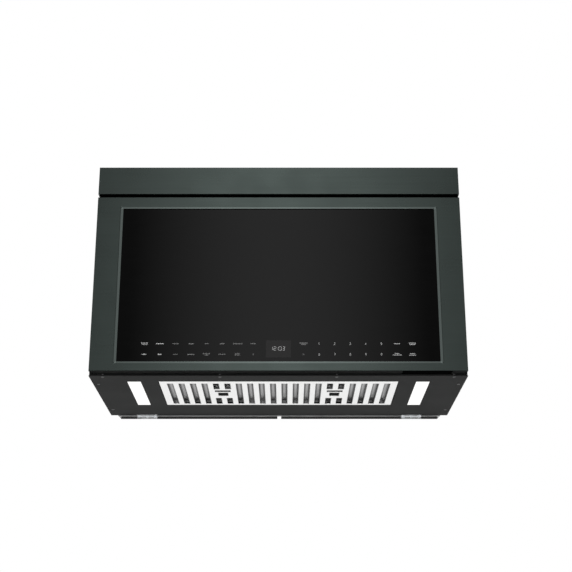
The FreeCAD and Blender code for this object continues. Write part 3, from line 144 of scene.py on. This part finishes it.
def level(tree, value, lo, hi, out_lo=0.0, out_hi=1.0):
    """Runs from out_lo to out_hi while value runs from lo to hi, and stays there beyond."""
    return add(tree, "MapRange", {0: value, 1: lo, 2: hi, 3: out_lo, 4: out_hi}).outputs[0]


def mix(tree, factor, a, b):
    """Colour a where factor is 0 and colour b where it is 1."""
    return add(tree, "Mix", {0: factor, 6: a, 7: b}, data_type="RGBA").outputs[2]


def grey(tone):
    """Neutral colour of that tone."""
    return (tone, tone, tone)


class Finish:
    """A Principled material over object coordinates in metres."""

    def __init__(self, name, color, rough, metal=0.0, spec=0.5):
        self.mat = bpy.data.materials.new(name)
        self.t = emptied(self.mat)
        self.b = add(self.t, "BsdfPrincipled", {"Metallic": metal, "Specular IOR Level": spec})
        add(self.t, "OutputMaterial", {0: self.b.outputs[0]})
        self.co = add(self.t, "TexCoord").outputs["Object"]
        self.color, self.rough = color, rough
        self.tint, self.shine, self.height = color, rough, None

    def axes(self):
        """The three object coordinates."""
        return add(self.t, "SeparateXYZ", {0: self.co}).outputs

    def scaled(self, sx, sy, sz):
        """The coordinates, each multiplied by its own factor."""
        return add(self.t, "Mapping", {0: self.co, 3: (sx, sy, sz)}, vector_type="POINT").outputs[0]

    def noise(self, scale, detail=3.0, stretch=None, rough=0.5):
        """Cloudy noise, with stretch as the factors of the three coordinates."""
        place = self.scaled(*stretch) if stretch else self.co
        return add(self.t, "TexNoise", {"Vector": place, "Scale": scale, "Detail": detail,
                                        "Roughness": rough}).outputs[0]

    def cells(self, scale, out="Distance"):
        """Scattered cells: each place's distance from its cell's middle, or the cell's own colour."""
        return add(self.t, "TexVoronoi", {"Vector": self.co, "Scale": scale}).outputs[out]

    def flakes(self, scale, channel):
        """Cells of even tone, each of its own."""
        return add(self.t, "SeparateColor", {0: self.cells(scale, "Color")}).outputs[channel]

    def waves(self, scale, wobble, direction):
        """Even stripes across the direction."""
        return add(self.t, "TexWave", {"Vector": self.co, "Scale": scale, "Distortion": wobble},
                   bands_direction=direction).outputs[1]

    def vary(self, value, amount, lo=0.3, hi=0.7):
        """Darkens and lightens the colour by amount as value runs from lo to hi."""
        dark = tuple(c * (1 - amount) for c in self.color)
        light = tuple(min(1.0, c * (1 + amount)) for c in self.color)
        self.tint = mix(self.t, level(self.t, value, lo, hi), dark, light)
        return self

    def gloss(self, value, spread, lo=0.3, hi=0.7):
        """Varies the roughness by spread as value runs from lo to hi."""
        self.shine = level(self.t, value, lo, hi, self.rough - spread, self.rough + spread)
        return self

    def bump(self, value, depth, strength):
        """Raises the surface by depth, in metres, where value is 1."""
        self.height = add(self.t, "Bump", {"Height": value, "Distance": depth,
                                           "Strength": strength}).outputs[0]
        return self

    def paint(self, mask, color):
        """Lays color over the tint where mask is 1."""
        self.tint = mix(self.t, mask, self.tint, color)
        return self

    def done(self):
        """Joins the tint, the shine and the bump to the shader and gives the material."""
        put(self.t, self.b.inputs["Base Color"], self.tint)
        put(self.t, self.b.inputs["Roughness"], self.shine)
        if self.height is not None:
            put(self.t, self.b.inputs["Normal"], self.height)
        return self.mat


# ------------------------------------------------------------------ finishes
def brushed(name, color, rough, metal, along, amount=0.06):
    """Metal with fine grain lines along one axis, which is 0, 1 or 2; not done yet."""
    f = Finish(name, color, rough, metal)
    stretch = [520.0, 520.0, 520.0]
    stretch[along] = 5.0
    lines = f.noise(1.0, 4.0, stretch, 0.65)
    return f.vary(lines, amount).gloss(f.noise(14.0, 2.0), 0.03).bump(lines, 0.00002, 0.25)


def green_metal():
    """Satin dark green-grey steel; the cut round the glass carries a painted highlight, brightest at its
    left and right.
    """
    f = brushed("satin_green_steel", (0.0192, 0.0238, 0.0222), 0.28, 1.0, 0, 0.05)
    t = f.t
    x, y, z = f.axes()
    across = calc(t, "SUBTRACT", calc(t, "ABSOLUTE", x), GLASS_HALF_W * MM)
    upright = calc(t, "MAXIMUM", calc(t, "SUBTRACT", z, GLASS_TOP * MM),
                   calc(t, "SUBTRACT", GLASS_LOW * MM, z))
    tall = product(t, calc(t, "MAXIMUM", upright, 0.0), CUT_RISE)
    wide = calc(t, "MAXIMUM", across, 0.0)
    # painted highlight on the cut round the glass, fading out away from it
    cut = product(t, level(t, distance(t, tall, wide), CUT_INNER * MM, CUT_OUTER * MM, 1.0, 0.0),
                  below(t, y, CUT_BACK * MM))
    # the cut's left and right faces get a brighter painted highlight than its top and bottom
    lit_sides = beyond(t, across, upright)
    f.paint(cut, mix(t, lit_sides, (0.0390, 0.0465, 0.0440), (0.072, 0.085, 0.081)))
    # dark line of the seal where the upper cut meets the glass
    seal = product(t, cut, near(t, z, SEAL_Z * MM, SEAL_HALF_H * MM), below(t, across, 0.4 * MM))
    return f.paint(seal, grey(0.0015)).done()


def coat(f):
    """Powder coat on a finish: fine orange peel, faint cloudiness."""
    cloud = f.noise(9.0, 4.0)
    return f.vary(cloud, 0.06).gloss(cloud, 0.05).bump(f.noise(950.0, 2.0), 0.00006, 0.35)


def powder(name, color, rough=0.62, spec=0.2):
    """Plain painted or powder-coated sheet."""
    return coat(Finish(name, color, rough, 0.0, spec)).done()


def rear_plate():
    """Dark plate paint, with a pale painted highlight on its face in the gap under the case and painted
    shade near black on the rim below.
    """
    f = Finish("wall_plate_paint", (0.043, 0.043, 0.045), 0.5, 0.0, 0.3)
    t = f.t
    _, y, z = f.axes()
    f.vary(f.noise(9.0, 4.0), 0.06).bump(f.noise(950.0, 2.0), 0.00006, 0.35)
    # below the case: a painted highlight on the plate's face, painted shade near black everywhere else
    face = product(t, beyond(t, y, -1.5 * MM), beyond(t, z, -3.7 * MM), below(t, y, -1.0 * MM))
    lit_band = mix(t, level(t, z, -1.6 * MM, -0.6 * MM), grey(0.72), grey(0.36))
    low = mix(t, face, grey(0.016), lit_band)
    return f.paint(below(t, z, 2.0 * MM), low).done()


def trim():
    """Black moulding along the door's lower edge, lifted by painted light further back in the gap under
    the door, with painted shade darkest inside the finger pocket and at its top.
    """
    f = Finish("door_edge_plastic", (0.090, 0.094, 0.092), 0.6, 0.0, 0.02)
    t = f.t
    x, y, z = f.axes()
    f.vary(f.noise(22.0, 3.0), 0.05).bump(f.noise(1600.0, 2.0), 0.00005, 0.4)
    # darker along the front, lighter further back, where a painted light makes up for the shade in the
    # gap under the door
    f.paint(level(t, y, -344 * MM, -332 * MM, 1.0, 0.0), (0.020, 0.021, 0.0205))
    # painted shade near black inside the finger pocket and along the top, where the moulding meets the
    # door
    pocket = product(t, near(t, x, POCKET_X * MM, POCKET_HALF_W * MM), below(t, y, POCKET_BACK * MM))
    top = level(t, z, 9.9 * MM, 10.2 * MM)
    return f.paint(calc(t, "MAXIMUM", pocket, top), grey(0.004)).done()


def base_sheet():
    """Powder-coated bottom sheet with a darker front edge."""
    f = coat(Finish("base_sheet_coat", (0.0218, 0.0222, 0.0220), 0.7, 0.0, 0.04))
    edge = level(f.t, f.axes()[1], -342.9 * MM, -342.6 * MM, 1.0, 0.0)
    return f.paint(edge, (0.0060, 0.0061, 0.0061)).done()


def zinc():
    """Zinc plate with spangle."""
    f = Finish("zinc_plate", (0.47, 0.48, 0.49), 0.34, 1.0)
    spangle = f.flakes(110.0, 0)
    f.vary(spangle, 0.10, 0.0, 1.0).gloss(spangle, 0.08, 0.0, 1.0)
    return f.bump(f.noise(700.0, 2.0), 0.00002, 0.3).done()


def moulded(name, color, rough=0.5, spec=0.4, grain=1600.0, depth=0.00005):
    """Moulded plastic with a spark-eroded grain."""
    f = Finish(name, color, rough, 0.0, spec)
    fine = f.noise(grain, 2.0)
    return f.vary(f.noise(22.0, 3.0), 0.05).gloss(fine, 0.05).bump(fine, depth, 0.4).done()


def dark_glass():
    """Black-backed glass: clear gloss over near black, with the faintest wipe marks."""
    f = Finish("dark_glass", grey(0.0004), 0.05, 0.0, 0.043)
    wipe = f.noise(6.0, 3.0, (3.0, 3.0, 11.0))
    return f.vary(wipe, 0.25).gloss(wipe, 0.012, 0.35, 0.65).done()


def clear_glass(name, color, rough=0.02):
    """Glass that is seen through, with a slight ripple."""
    f = Finish(name, color, rough)
    f.b.inputs["IOR"].default_value = 1.5
    f.b.inputs["Transmission Weight"].default_value = 1.0
    blend = f.noise(18.0, 3.0)
    return f.vary(blend, 0.02).gloss(blend, 0.012).bump(f.noise(60.0, 2.0), 0.00004, 0.15).done()


def enamel():
    """Light grey cavity enamel with small dark and pale flecks."""
    f = Finish("cavity_enamel", (0.38, 0.38, 0.37), 0.32, 0.0, 0.45)
    f.paint(level(f.t, f.cells(420.0), 0.16, 0.22, 1.0, 0.0), grey(0.16))
    f.paint(level(f.t, f.cells(310.0), 0.12, 0.18, 1.0, 0.0), (0.55, 0.55, 0.54))
    return f.bump(f.noise(240.0, 2.0), 0.00008, 0.3).done()


def circuit_board():
    """Green board: solder-mask tone, copper runs under it and small pads."""
    f = Finish("circuit_board", (0.018, 0.095, 0.045), 0.38, 0.0, 0.45)
    t = f.t
    runs = add(t, "TexBrick", {"Vector": f.scaled(90.0, 90.0, 90.0), "Scale": 1.0, "Mortar Size": 0.045,
                               "Color1": grey(0.0), "Color2": grey(0.0), "Mortar": grey(1.0)}).outputs[0]
    f.paint(add(t, "SeparateColor", {0: runs}).outputs[0], (0.045, 0.19, 0.085))
    f.paint(level(t, f.cells(260.0), 0.14, 0.18, 1.0, 0.0), (0.55, 0.53, 0.48))
    return f.bump(f.noise(900.0, 2.0), 0.00004, 0.3).done()


def mica():
    """Sheet of pressed mica flakes."""
    f = Finish("mica_sheet", (0.46, 0.41, 0.33), 0.42)
    flake = f.flakes(260.0, 1)
    f.vary(flake, 0.16, 0.0, 1.0).gloss(flake, 0.14, 0.0, 1.0)
    return f.bump(f.noise(500.0, 3.0), 0.00006, 0.4).done()


def charcoal():
    """Pad of black granules."""
    f = Finish("charcoal_pad", grey(0.014), 0.9, 0.0, 0.2)
    grain = f.cells(520.0)
    return f.vary(grain, 0.5, 0.0, 0.6).bump(grain, 0.0007, 0.8).done()


def lens():
    """Frosted white diffuser over lit diodes, a little brighter before each of them."""
    f = Finish("lamp_lens", grey(0.08), 0.42, 0.0, 0.2)
    t = f.t
    diode_pitch = 22.5 * MM
    prism = f.waves(120.0, 0.0, "Y")
    spots = calc(t, "COSINE", calc(t, "MULTIPLY", f.axes()[1], 2 * math.pi / diode_pitch))
    f.b.inputs["Emission Color"].default_value = (1.0, 0.995, 0.985, 1.0)
    put(t, f.b.inputs["Emission Strength"], level(t, spots, -1.0, 1.0, 0.90, 1.0))
    return f.vary(prism, 0.03, 0.0, 1.0).bump(prism, 0.00008, 0.3).done()


def screen():
    """Dark steel sheet with close round holes in staggered rows."""
    f = Finish("perforated_screen", (0.05, 0.05, 0.052), 0.45, 0.6, 0.4)
    t = f.t
    x, _, z = f.axes()
    pitch = HOLE_PITCH * MM
    steps = (1 / pitch, FIELDS_PER_PITCH / pitch)
    reach = []
    for shift in (0.0, 0.5):
        u, w = [calc(t, "SUBTRACT", calc(t, "FRACT", calc(t, "MULTIPLY_ADD", place, step, shift)), 0.5)
                for place, step in zip((x, z), steps)]
        reach.append(distance(t, u, product(t, w, FIELD_RATIO)))
    hole = level(t, calc(t, "MINIMUM", *reach), 0.30, 0.34, 1.0, 0.0)
    return f.paint(hole, grey(0.003)).bump(hole, -0.0005, 0.6).done()


def inlet_shade(t, x, pale, dark):
    """Painted shade, dark over the two fan inlets, paler in the middle and at the ends."""
    side = calc(t, "ABSOLUTE", x)
    inlets = product(t, level(t, side, 62 * MM, 74 * MM), level(t, side, 200 * MM, 215 * MM, 1.0, 0.0))
    return mix(t, inlets, pale, dark)


def filter_skin():
    """Pale brushed sheet; the inner side of its rear wall carries painted shade, darkest before the fans.
    """
    f = brushed("pale_filter_metal", (0.86, 0.86, 0.855), 0.42, 0.85, 0, 0.02)
    t = f.t
    x, y, z = f.axes()
    # painted shade on the inner side of the rear wall, near black low down before the fans
    inner = product(t, beyond(t, z, 1.6 * MM), beyond(t, y, -104.6 * MM), below(t, y, -103.4 * MM))
    fan_shade = mix(t, level(t, z, 6.3 * MM, 6.9 * MM), grey(0.010), grey(0.18))
    f.paint(inner, inlet_shade(t, x, grey(0.20), fan_shade))
    # rolled edges of the slots: a fine line of painted shade along both sides, left out between the
    # latch's runs
    side = calc(t, "ABSOLUTE", x)
    turn = calc(t, "FRACT", calc(t, "DIVIDE", calc(t, "SUBTRACT", x, SLOT_SHIFT * MM), SLOT_PITCH * MM))
    rims = product(t, near(t, turn, 0.5, SLOT_HALF_W / SLOT_PITCH), below(t, side, SLOTS_HALF_W * MM),
                   near(t, y, SLOT_Y * MM, SLOT_HALF_L * MM), below(t, z, 1.3 * MM))
    between = product(t, near(t, side, LATCH_X * MM, SLOT_PITCH * MM),
                      near(t, y, RUN_Y * MM, RUN_HALF_L * MM))
    rims = product(t, rims, calc(t, "SUBTRACT", 1.0, between))
    return f.paint(rims, grey(0.10)).done()


def baffle_skin():
    """Plain baffles, greyer than the face sheet, with painted shade low on their walls and towards the
    rear, and painted light by the latches.
    """
    f = brushed("baffle_metal", grey(0.33), 0.36, 1.0, 1)
    t = f.t
    x, y, z = f.axes()
    # painted shade: the arches are darker low on their walls than at their crowns
    blend = level(t, z, 8.5 * MM, 9.35 * MM, 0.48, 1.0)
    f.tint = mix(t, blend, grey(0.0), f.tint)
    # painted shade towards the rear, darker before the fans
    f.paint(level(t, y, -220 * MM, -116 * MM), inlet_shade(t, x, grey(0.17), grey(0.115)))
    # painted light by the latches, making up for the shade of the latch plates
    latch_painted_light = product(t, near(t, calc(t, "ABSOLUTE", x), LATCH_X * MM, 21 * MM),
                       near(t, y, -230 * MM, 16 * MM))
    return f.paint(latch_painted_light, grey(0.85)).done()


def wound():
    """Varnished copper windings and red leads."""
    f = Finish("wound_copper", (0.34, 0.09, 0.045), 0.36, 0.35)
    turns = f.waves(620.0, 0.4, "DIAGONAL")
    return f.vary(turns, 0.28, 0.0, 1.0).bump(turns, 0.0002, 0.5).done()


# by material slot
FINISH = {
    "green_metal": green_metal(),
    "dark_metal": powder("black_painted_steel", (0.010, 0.010, 0.0105), 0.55, 0.2),
    "case_metal": powder("dark_grey_case_paint", (0.043, 0.043, 0.045), 0.5, 0.3),
    "zinc": zinc(),
    "filter_metal": filter_skin(),
    "baffle_metal": baffle_skin(),
    "steel": brushed("plain_steel", (0.52, 0.53, 0.54), 0.34, 1.0, 1).done(),
    "cavity_enamel": enamel(),
    "dark_glass": dark_glass(),
    "clear_glass": clear_glass("inner_pane_glass", (0.90, 0.94, 0.93)),
    "tray_glass": clear_glass("tray_glass", (0.86, 0.93, 0.92), 0.04),
    "lens": lens(),
    "black_plastic": moulded("black_plastic", (0.0075, 0.0078, 0.0078), 0.5, 0.25),
    "grey_plastic": moulded("grey_plastic", (0.24, 0.24, 0.25)),
    "pale_plastic": moulded("natural_plastic", (0.68, 0.67, 0.63), 0.45),
    "rubber": moulded("black_rubber", grey(0.018), 0.75, 0.25, 900.0, 0.0001),
    "board_green": circuit_board(),
    "carbon": charcoal(),
    "mica": mica(),
    "copper_red": wound(),
}
latch_metal = brushed("latch_metal", (0.055, 0.055, 0.056), 0.4, 0.8, 0).done()
# by node, where its finish isn't the slot's plain one
SPECIAL = {
    "door_screen": screen(),
    "vent_grille": moulded("grille_black", grey(0.0004), 0.8, 0.0),
    "door_base_trim": trim(),
    "base_panel": base_sheet(),
    "filter_latch_right": latch_metal,
    "filter_latch_left": latch_metal,
    "wall_plate": rear_plate(),
    "base_screws": powder("blackened_screw", (0.045, 0.045, 0.046), 0.45, 0.4),
}

for part in frame["record"]["subparts"]:
    materials = nodes[part["node"]].data.materials
    materials.clear()
    materials.append(SPECIAL.get(part["node"]) or FINISH[part["material_slot"]])


# ------------------------------------------------------------------ meshes made here
def object_of(name, bm, material):
    """An object of one material, made of the bmesh, which is then freed."""
    mesh = bpy.data.meshes.new(name)
    bm.to_mesh(mesh)
    bm.free()
    mesh.materials.append(material)
    obj = bpy.data.objects.new(name, mesh)
    scene.collection.objects.link(obj)
    return obj


def arc(cx, cz, rx, rz, start, end, count=14):
    """Points along an ellipse round (cx, cz), from start to end in degrees."""
    turns = [math.radians(start + (end - start) * i / count) for i in range(count + 1)]
    return [(cx + rx * math.cos(a), cz + rz * math.sin(a)) for a in turns]


def ribbon(bm, points, width):
    """Flat line of even width through 2-D points, its ends cut square; gives the line's corners."""
    pts = [Vector((x, z)) for x, z in points]
    pts = [p for i, p in enumerate(pts) if i == 0 or (p - pts[i - 1]).length > 1e-5]
    closed = (pts[0] - pts[-1]).length < 1e-4 and len(pts) > 3
    rims = []
    for i, p in enumerate(pts):
        a = pts[i - 1] if i else (pts[-2] if closed else None)
        b = pts[i + 1] if i + 1 < len(pts) else (pts[1] if closed else None)
        da = (p - a).normalized() if a is not None else None
        db = (b - p).normalized() if b is not None else None
        d = db if da is None else da if db is None else (da + db)
        d = d.normalized() if d.length > 1e-6 else da
        n = Vector((-d.y, d.x))
        at_end = da is None or db is None
        stretch = 1.0 if at_end else 1 / max(0.5, abs(n.dot(Vector((-da.y, da.x)))))
        rims.append((p + n * width / 2 * stretch, p - n * width / 2 * stretch))
    corners = [[bm.verts.new((q.x, 0, q.y)) for q in pair] for pair in rims]
    for (l0, r0), (l1, r1) in zip(corners, corners[1:]):
        bm.faces.new((r0, r1, l1, l0))
    return [corner for pair in corners for corner in pair]


# ------------------------------------------------------------------ printed marks on the glass
GLASS_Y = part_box("door_glass")[0].y
DOOR_Y = -347.0             # the door's front plane, in millimetres
EYE_TO_DOOR = 2327.0        # from the camera to that plane


def seen(x, z):
    """Where a point read on the door's front plane lies on the glass, which is set back behind it."""
    eye_x, eye_z = EYE[0] / MM, EYE[2] / MM
    k = 1 + (GLASS_Y / MM - DOOR_Y) / EYE_TO_DOOR
    return eye_x + (x - eye_x) * k, eye_z + (z - eye_z) * k


def flat_piece(name, marks, lift, material):
    """One mesh of line marks: each is (x, z, scale, width, lines), in millimetres on the glass."""
    bm = bmesh.new()
    for x, z, scale, width, lines in marks:
        cx, cz = seen(x, z)
        for line in lines:
            for v in ribbon(bm, [(px * scale, pz * scale) for px, pz in line], width):
                v.co = Vector((cx + v.co.x, 0, cz + v.co.z)) * MM
                v.co.y = GLASS_Y - lift
    for face in bm.faces:
        face.normal_update()
        if face.normal.y > 0:
            face.normal_flip()
    obj = object_of(name, bm, material)
    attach(obj, "door")


def ink(name, tone, glow):
    """Pale print that glows a little."""
    f = Finish(name, grey(tone), 0.6, 0.0, 0.2)
    f.b.inputs["Emission Color"].default_value = (tone, tone, tone, 1.0)
    f.b.inputs["Emission Strength"].default_value = glow
    return f.vary(f.noise(1800.0, 2.0), 0.08).done()


# strokes in a field 0.6 wide and 1 high
DIGITS = {
    "0": [arc(0.3, 0.5, 0.27, 0.5, 90, 450, 20)],
    "1": [[(0.12, 0.78), (0.34, 1.0), (0.34, 0.0)]],
    "2": [arc(0.3, 0.73, 0.26, 0.27, 165, -25) + [(0.03, 0.0), (0.58, 0.0)]],
    "3": [arc(0.29, 0.76, 0.24, 0.24, 150, -80), arc(0.29, 0.27, 0.28, 0.27, 85, -155)],
    "4": [[(0.44, 0.0), (0.44, 1.0), (0.02, 0.28), (0.6, 0.28)]],
    "5": [[(0.53, 1.0), (0.12, 1.0), (0.08, 0.55)] + arc(0.29, 0.31, 0.28, 0.31, 125, -150)],
    "6": [arc(0.31, 0.31, 0.27, 0.31, 90, 450, 20), [(0.05, 0.36), (0.16, 0.74), (0.45, 1.0)]],
    "7": [[(0.03, 1.0), (0.57, 1.0), (0.22, 0.0)]],
    "8": [arc(0.3, 0.76, 0.22, 0.24, 90, 450, 18), arc(0.3, 0.27, 0.27, 0.27, 90, 450, 18)],
    "9": [arc(0.29, 0.69, 0.27, 0.31, 90, 450, 20), [(0.55, 0.64), (0.44, 0.26), (0.15, 0.0)]],
}
# plain shapes in place of words: box, triangle, cross, diamond, two bars, arrow
GLYPHS = [
    [[(-0.35, -0.5), (0.35, -0.5), (0.35, 0.5), (-0.35, 0.5), (-0.35, -0.5)]],
    [[(-0.42, -0.5), (0.42, -0.5), (0.0, 0.5), (-0.42, -0.5)]],
    [[(-0.4, 0.0), (0.4, 0.0)], [(0.0, -0.42), (0.0, 0.42)]],
    [[(0.0, -0.5), (0.42, 0.0), (0.0, 0.5), (-0.42, 0.0), (0.0, -0.5)]],
    [[(-0.4, 0.22), (0.4, 0.22)], [(-0.4, -0.22), (0.4, -0.22)]],
    [[(-0.35, -0.5), (0.4, 0.0), (-0.35, 0.5), (-0.35, -0.5)]],
]
GLYPH_H = 1.9
GLYPH_STEP = GLYPH_H * 1.02
LINE_STEP = 2.9


def sign(widths, seed):
    """Rows of small plain shapes, one row for each width in millimetres, centred on the label's place."""
    lines = []
    for r, width in enumerate(widths):
        count = max(2, round(width / GLYPH_STEP))
        z = ((len(widths) - 1) / 2 - r) * LINE_STEP
        for i in range(count):
            x = (i - (count - 1) / 2) * width / count
            glyph = GLYPHS[(seed * 5 + r * 2 + i * (2 + seed % 3)) % len(GLYPHS)]
            lines += [[(x + GLYPH_H * px, z + GLYPH_H * pz) for px, pz in line] for line in glyph]
    return lines


COLUMNS = [50.5 + 31.3 * i for i in range(8)]
TOP, LOW = 65.9, 43.7
WORD_STROKE, ICON_STROKE, DIGIT_STROKE = 0.42, 0.3, 0.55
DIGIT_H = 4.4
# column counted outwards from the display, row, widths of the rows of shapes, ink
LABELS = [
    (-8, TOP, (13.2, 12.0), "mid"), (-7, TOP, (15.5,), "bright"), (-6, TOP, (13.0,), "dim"),
    (-5, TOP, (10.0,), "dim"), (-4, TOP, (9.0,), "dim"), (-3, TOP, (8.8,), "dim"),
    (-2, TOP, (19.0,), "dim"), (-1, TOP, (10.8,), "dim"),
    (-8, LOW, (10.0,), "bright"), (-7, LOW, (7.5,), "bright"), (-6, LOW, (10.0,), "dim"),
    (-5, LOW, (14.0,), "dim"), (-4, LOW, (13.8, 7.5), "dim"), (-3, LOW, (13.8,), "dim"),
    (-2, LOW, (10.5, 11.2), "dim"),
    (1, TOP, (16.8, 10.0), "dim"), (7, TOP, (12.5,), "bright"), (8, TOP, (14.0, 12.0), "mid"),
    (7, LOW, (9.5, 19.0), "mid"), (8, LOW, (11.0, 13.6), "mid"),
]
inks = {"dim": [], "mid": [], "bright": []}
for i, (column, z, widths, tone) in enumerate(LABELS):
    x = math.copysign(COLUMNS[abs(column) - 1], column)
    inks[tone].append((x, z, 1.0, WORD_STROKE, sign(widths, i)))
padlock = [[(-1.0, 0.2), (1.0, 0.2), (1.0, -1.7), (-1.0, -1.7), (-1.0, 0.2)],
           arc(0, 0.3, 0.7, 1.3, 0, 180, 12)]
play = [[(-1.2, -1.5), (1.5, 0), (-1.2, 1.5), (-1.2, -1.5)]]
for x, icon in ((-COLUMNS[0], padlock), (COLUMNS[0], play)):
    inks["dim"].append((x, LOW, 1.0, ICON_STROKE, icon))
keys = []
for i in range(10):
    centred = [[(px - 0.3, pz - 0.5) for px, pz in line] for line in DIGITS[str((i + 1) % 10)]]
    keys.append((COLUMNS[1 + i % 5], TOP if i < 5 else LOW, DIGIT_H, DIGIT_STROKE, centred))

MARK_LIFT = 0.00003         # metres before the glass; the window lies under the clock and the marks
WINDOW_LIFT = 0.00002
CLOCK_LIFT = 0.00004
flat_piece("marks_dim", inks["dim"], MARK_LIFT, ink("ink_dim", 0.15, 0.25))
flat_piece("marks_mid", inks["mid"], MARK_LIFT, ink("ink_mid", 0.30, 0.3))
flat_piece("marks_bright", inks["bright"], MARK_LIFT, ink("ink_bright", 0.46, 0.4))
flat_piece("marks_digits", keys, MARK_LIFT, ink("ink_digits", 0.30, 0.25))


# ------------------------------------------------------------------ display
def slab(name, x, z, lift, material):
    """Thin panel with rounded corners lying on the glass, its limits read on the door's front plane."""
    radius = 1.2
    x0, z0 = seen(x[0], z[0])
    x1, z1 = seen(x[1], z[1])
    bm = bmesh.new()
    loop = []
    for cx, cz, a in ((x1 - radius, z0 + radius, -90), (x1 - radius, z1 - radius, 0),
                      (x0 + radius, z1 - radius, 90), (x0 + radius, z0 + radius, 180)):
        for px, pz in arc(cx, cz, radius, radius, a, a + 90, 5):
            loop.append(bm.verts.new((px * MM, GLASS_Y - lift, pz * MM)))
    bm.faces.new(loop)
    obj = object_of(name, bm, material)
    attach(obj, "door")


def display_tint():
    """Smoked window over the display, a shade lighter than the glass round it."""
    f = Finish("display_window", (0.0040, 0.0037, 0.0038), 0.06, 0.0, 0.05)
    return f.vary(f.noise(900.0, 2.0), 0.08).done()


slab("display_window", (-25.0, 25.0), (37.3, 72.8), WINDOW_LIFT, display_tint())

# bars of the clock's digits, in a field 1 wide and 1 high
BARS = {"a": ((0, 1), (1, 1)), "b": ((1, 1), (1, 0.5)), "c": ((1, 0.5), (1, 0)), "d": ((0, 0), (1, 0)),
        "e": ((0, 0), (0, 0.5)), "f": ((0, 0.5), (0, 1)), "g": ((0, 0.5), (1, 0.5))}
CLOCK = ((-15.9, -11.9, "bc"), (-9.5, -4.8, "abged"), (0.4, 6.2, "abcdef"), (8.8, 12.7, "abgcd"))
CLOCK_Z, CLOCK_H = 52.2, 7.4
BAR_STROKE, BAR_GAP = 0.6, 0.5
COLON_X, COLON_Z, COLON_STROKE = -2.0, (54.5, 57.4), 0.45
clock = []
for left, right, bars in CLOCK:
    lines = []
    for bar in bars:
        a, b = [Vector((left + (right - left) * px, pz * CLOCK_H)) for px, pz in BARS[bar]]
        short = (b - a).normalized() * BAR_GAP
        lines.append([tuple(a + short), tuple(b - short)])
    clock.append((0.0, CLOCK_Z, 1.0, BAR_STROKE, lines))
for z in COLON_Z:
    clock.append((COLON_X, z, 1.0, COLON_STROKE, [[(-0.3, 0), (0.3, 0)]]))
flat_piece("display_digits", clock, CLOCK_LIFT, ink("display_glow", 0.32, 0.65))

# ------------------------------------------------------------------ screw recesses under the base
SCREW_SPOTS = ((117.15, -336.0), (352.0, -336.0), (367.9, -280.0), (367.9, -62.4))
RECESS_DROP = 0.00002       # metres under the screws' heads
RECESS_L, RECESS_W = 1.6, 0.36      # half sizes of each bar of the cross


def recesses():
    """Dark crosses in the screws' heads."""
    bm = bmesh.new()
    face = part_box("base_screws")[0].z - RECESS_DROP
    for x, y in [(side * x, y) for side in (-1, 1) for x, y in SCREW_SPOTS]:
        for w, h in ((RECESS_L, RECESS_W), (RECESS_W, RECESS_L)):
            corners = [(-w, -h), (-w, h), (w, h), (w, -h)]
            bm.faces.new([bm.verts.new(((x + a) * MM, (y + b) * MM, face)) for a, b in corners])
    obj = object_of("screw_recesses", bm, powder("recess_shadow", grey(0.008)))
    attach(obj, "case")


recesses()

# ------------------------------------------------------------------ studio
AMBIENT = 0.72              # the sky's strength as light on matt surfaces; it is 1 wherever it is seen
FLOOR_Z, FLOOR_HALF_W = -2.3, 9
FLOOR_TONE, FLOOR_GLOW = 0.88, 0.36
CARD_X, CARD_W, CARD_GLOW = -0.025, 0.80, 5.0       # middle, half width and strength of the soft light
CARD_RAIL = [(-4.2, -2.25), (-4.2, 2.2), (-3.6, 3.6), (-2.4, 4.7), (-0.8, 5.2)]


def shown(tree):
    """1 for what is seen straight, in a reflection or through glass, 0 for light on matt surfaces."""
    path = add(tree, "LightPath").outputs
    seen_rays = calc(tree, "MAXIMUM", path["Is Camera Ray"], path["Is Glossy Ray"])
    return calc(tree, "MAXIMUM", seen_rays, path["Is Transmission Ray"])


def sheet_object(name, corners, faces):
    """A plain mesh of the studio with a material of its own; gives the object and the material's tree."""
    mesh = bpy.data.meshes.new(name)
    mesh.from_pydata(corners, [], faces)
    material = bpy.data.materials.new(name)
    mesh.materials.append(material)
    obj = bpy.data.objects.new(name, mesh)
    scene.collection.objects.link(obj)
    return obj, emptied(material)


def glowing(tree, under, strength):
    """Ends the material as the shader under with white light of its own added."""
    glow = add(tree, "Emission", {0: grey(1.0), 1: strength})
    both = add(tree, "AddShader", {0: under.outputs[0], 1: glow.outputs[0]})
    add(tree, "OutputMaterial", {0: both.outputs[0]})


def studio():
    """White sky, pale floor and one tall soft light."""
    world = bpy.data.worlds.new("studio")
    scene.world = world
    t = emptied(world)
    strength = calc(t, "MULTIPLY_ADD", shown(t), 1.0 - AMBIENT, AMBIENT)
    sky = add(t, "Background", {0: grey(1.0), 1: strength})
    add(t, "OutputWorld", {0: sky.outputs[0]})

    ends = (-FLOOR_HALF_W, FLOOR_HALF_W)
    floor, t = sheet_object("floor", [(x, y, FLOOR_Z) for y in ends for x in ends], [(0, 1, 3, 2)])
    glowing(t, add(t, "BsdfDiffuse", {0: grey(FLOOR_TONE)}), calc(t, "MULTIPLY", shown(t), FLOOR_GLOW))

    # in front of the door and over it, bright along its middle, fading to both sides
    corners = [(side * CARD_W, y, z) for y, z in CARD_RAIL for side in (-1, 1)]
    faces = [(2 * i, 2 * i + 1, 2 * i + 3, 2 * i + 2) for i in range(len(CARD_RAIL) - 1)]
    card, t = sheet_object("soft_light", corners, faces)
    card.location.x = CARD_X
    x = add(t, "SeparateXYZ", {0: add(t, "TexCoord").outputs["Object"]}).outputs[0]
    fall = calc(t, "COSINE", calc(t, "MULTIPLY", x, math.pi / 2 / CARD_W))
    glowing(t, add(t, "BsdfTransparent"), calc(t, "MULTIPLY", fall, CARD_GLOW))


studio()
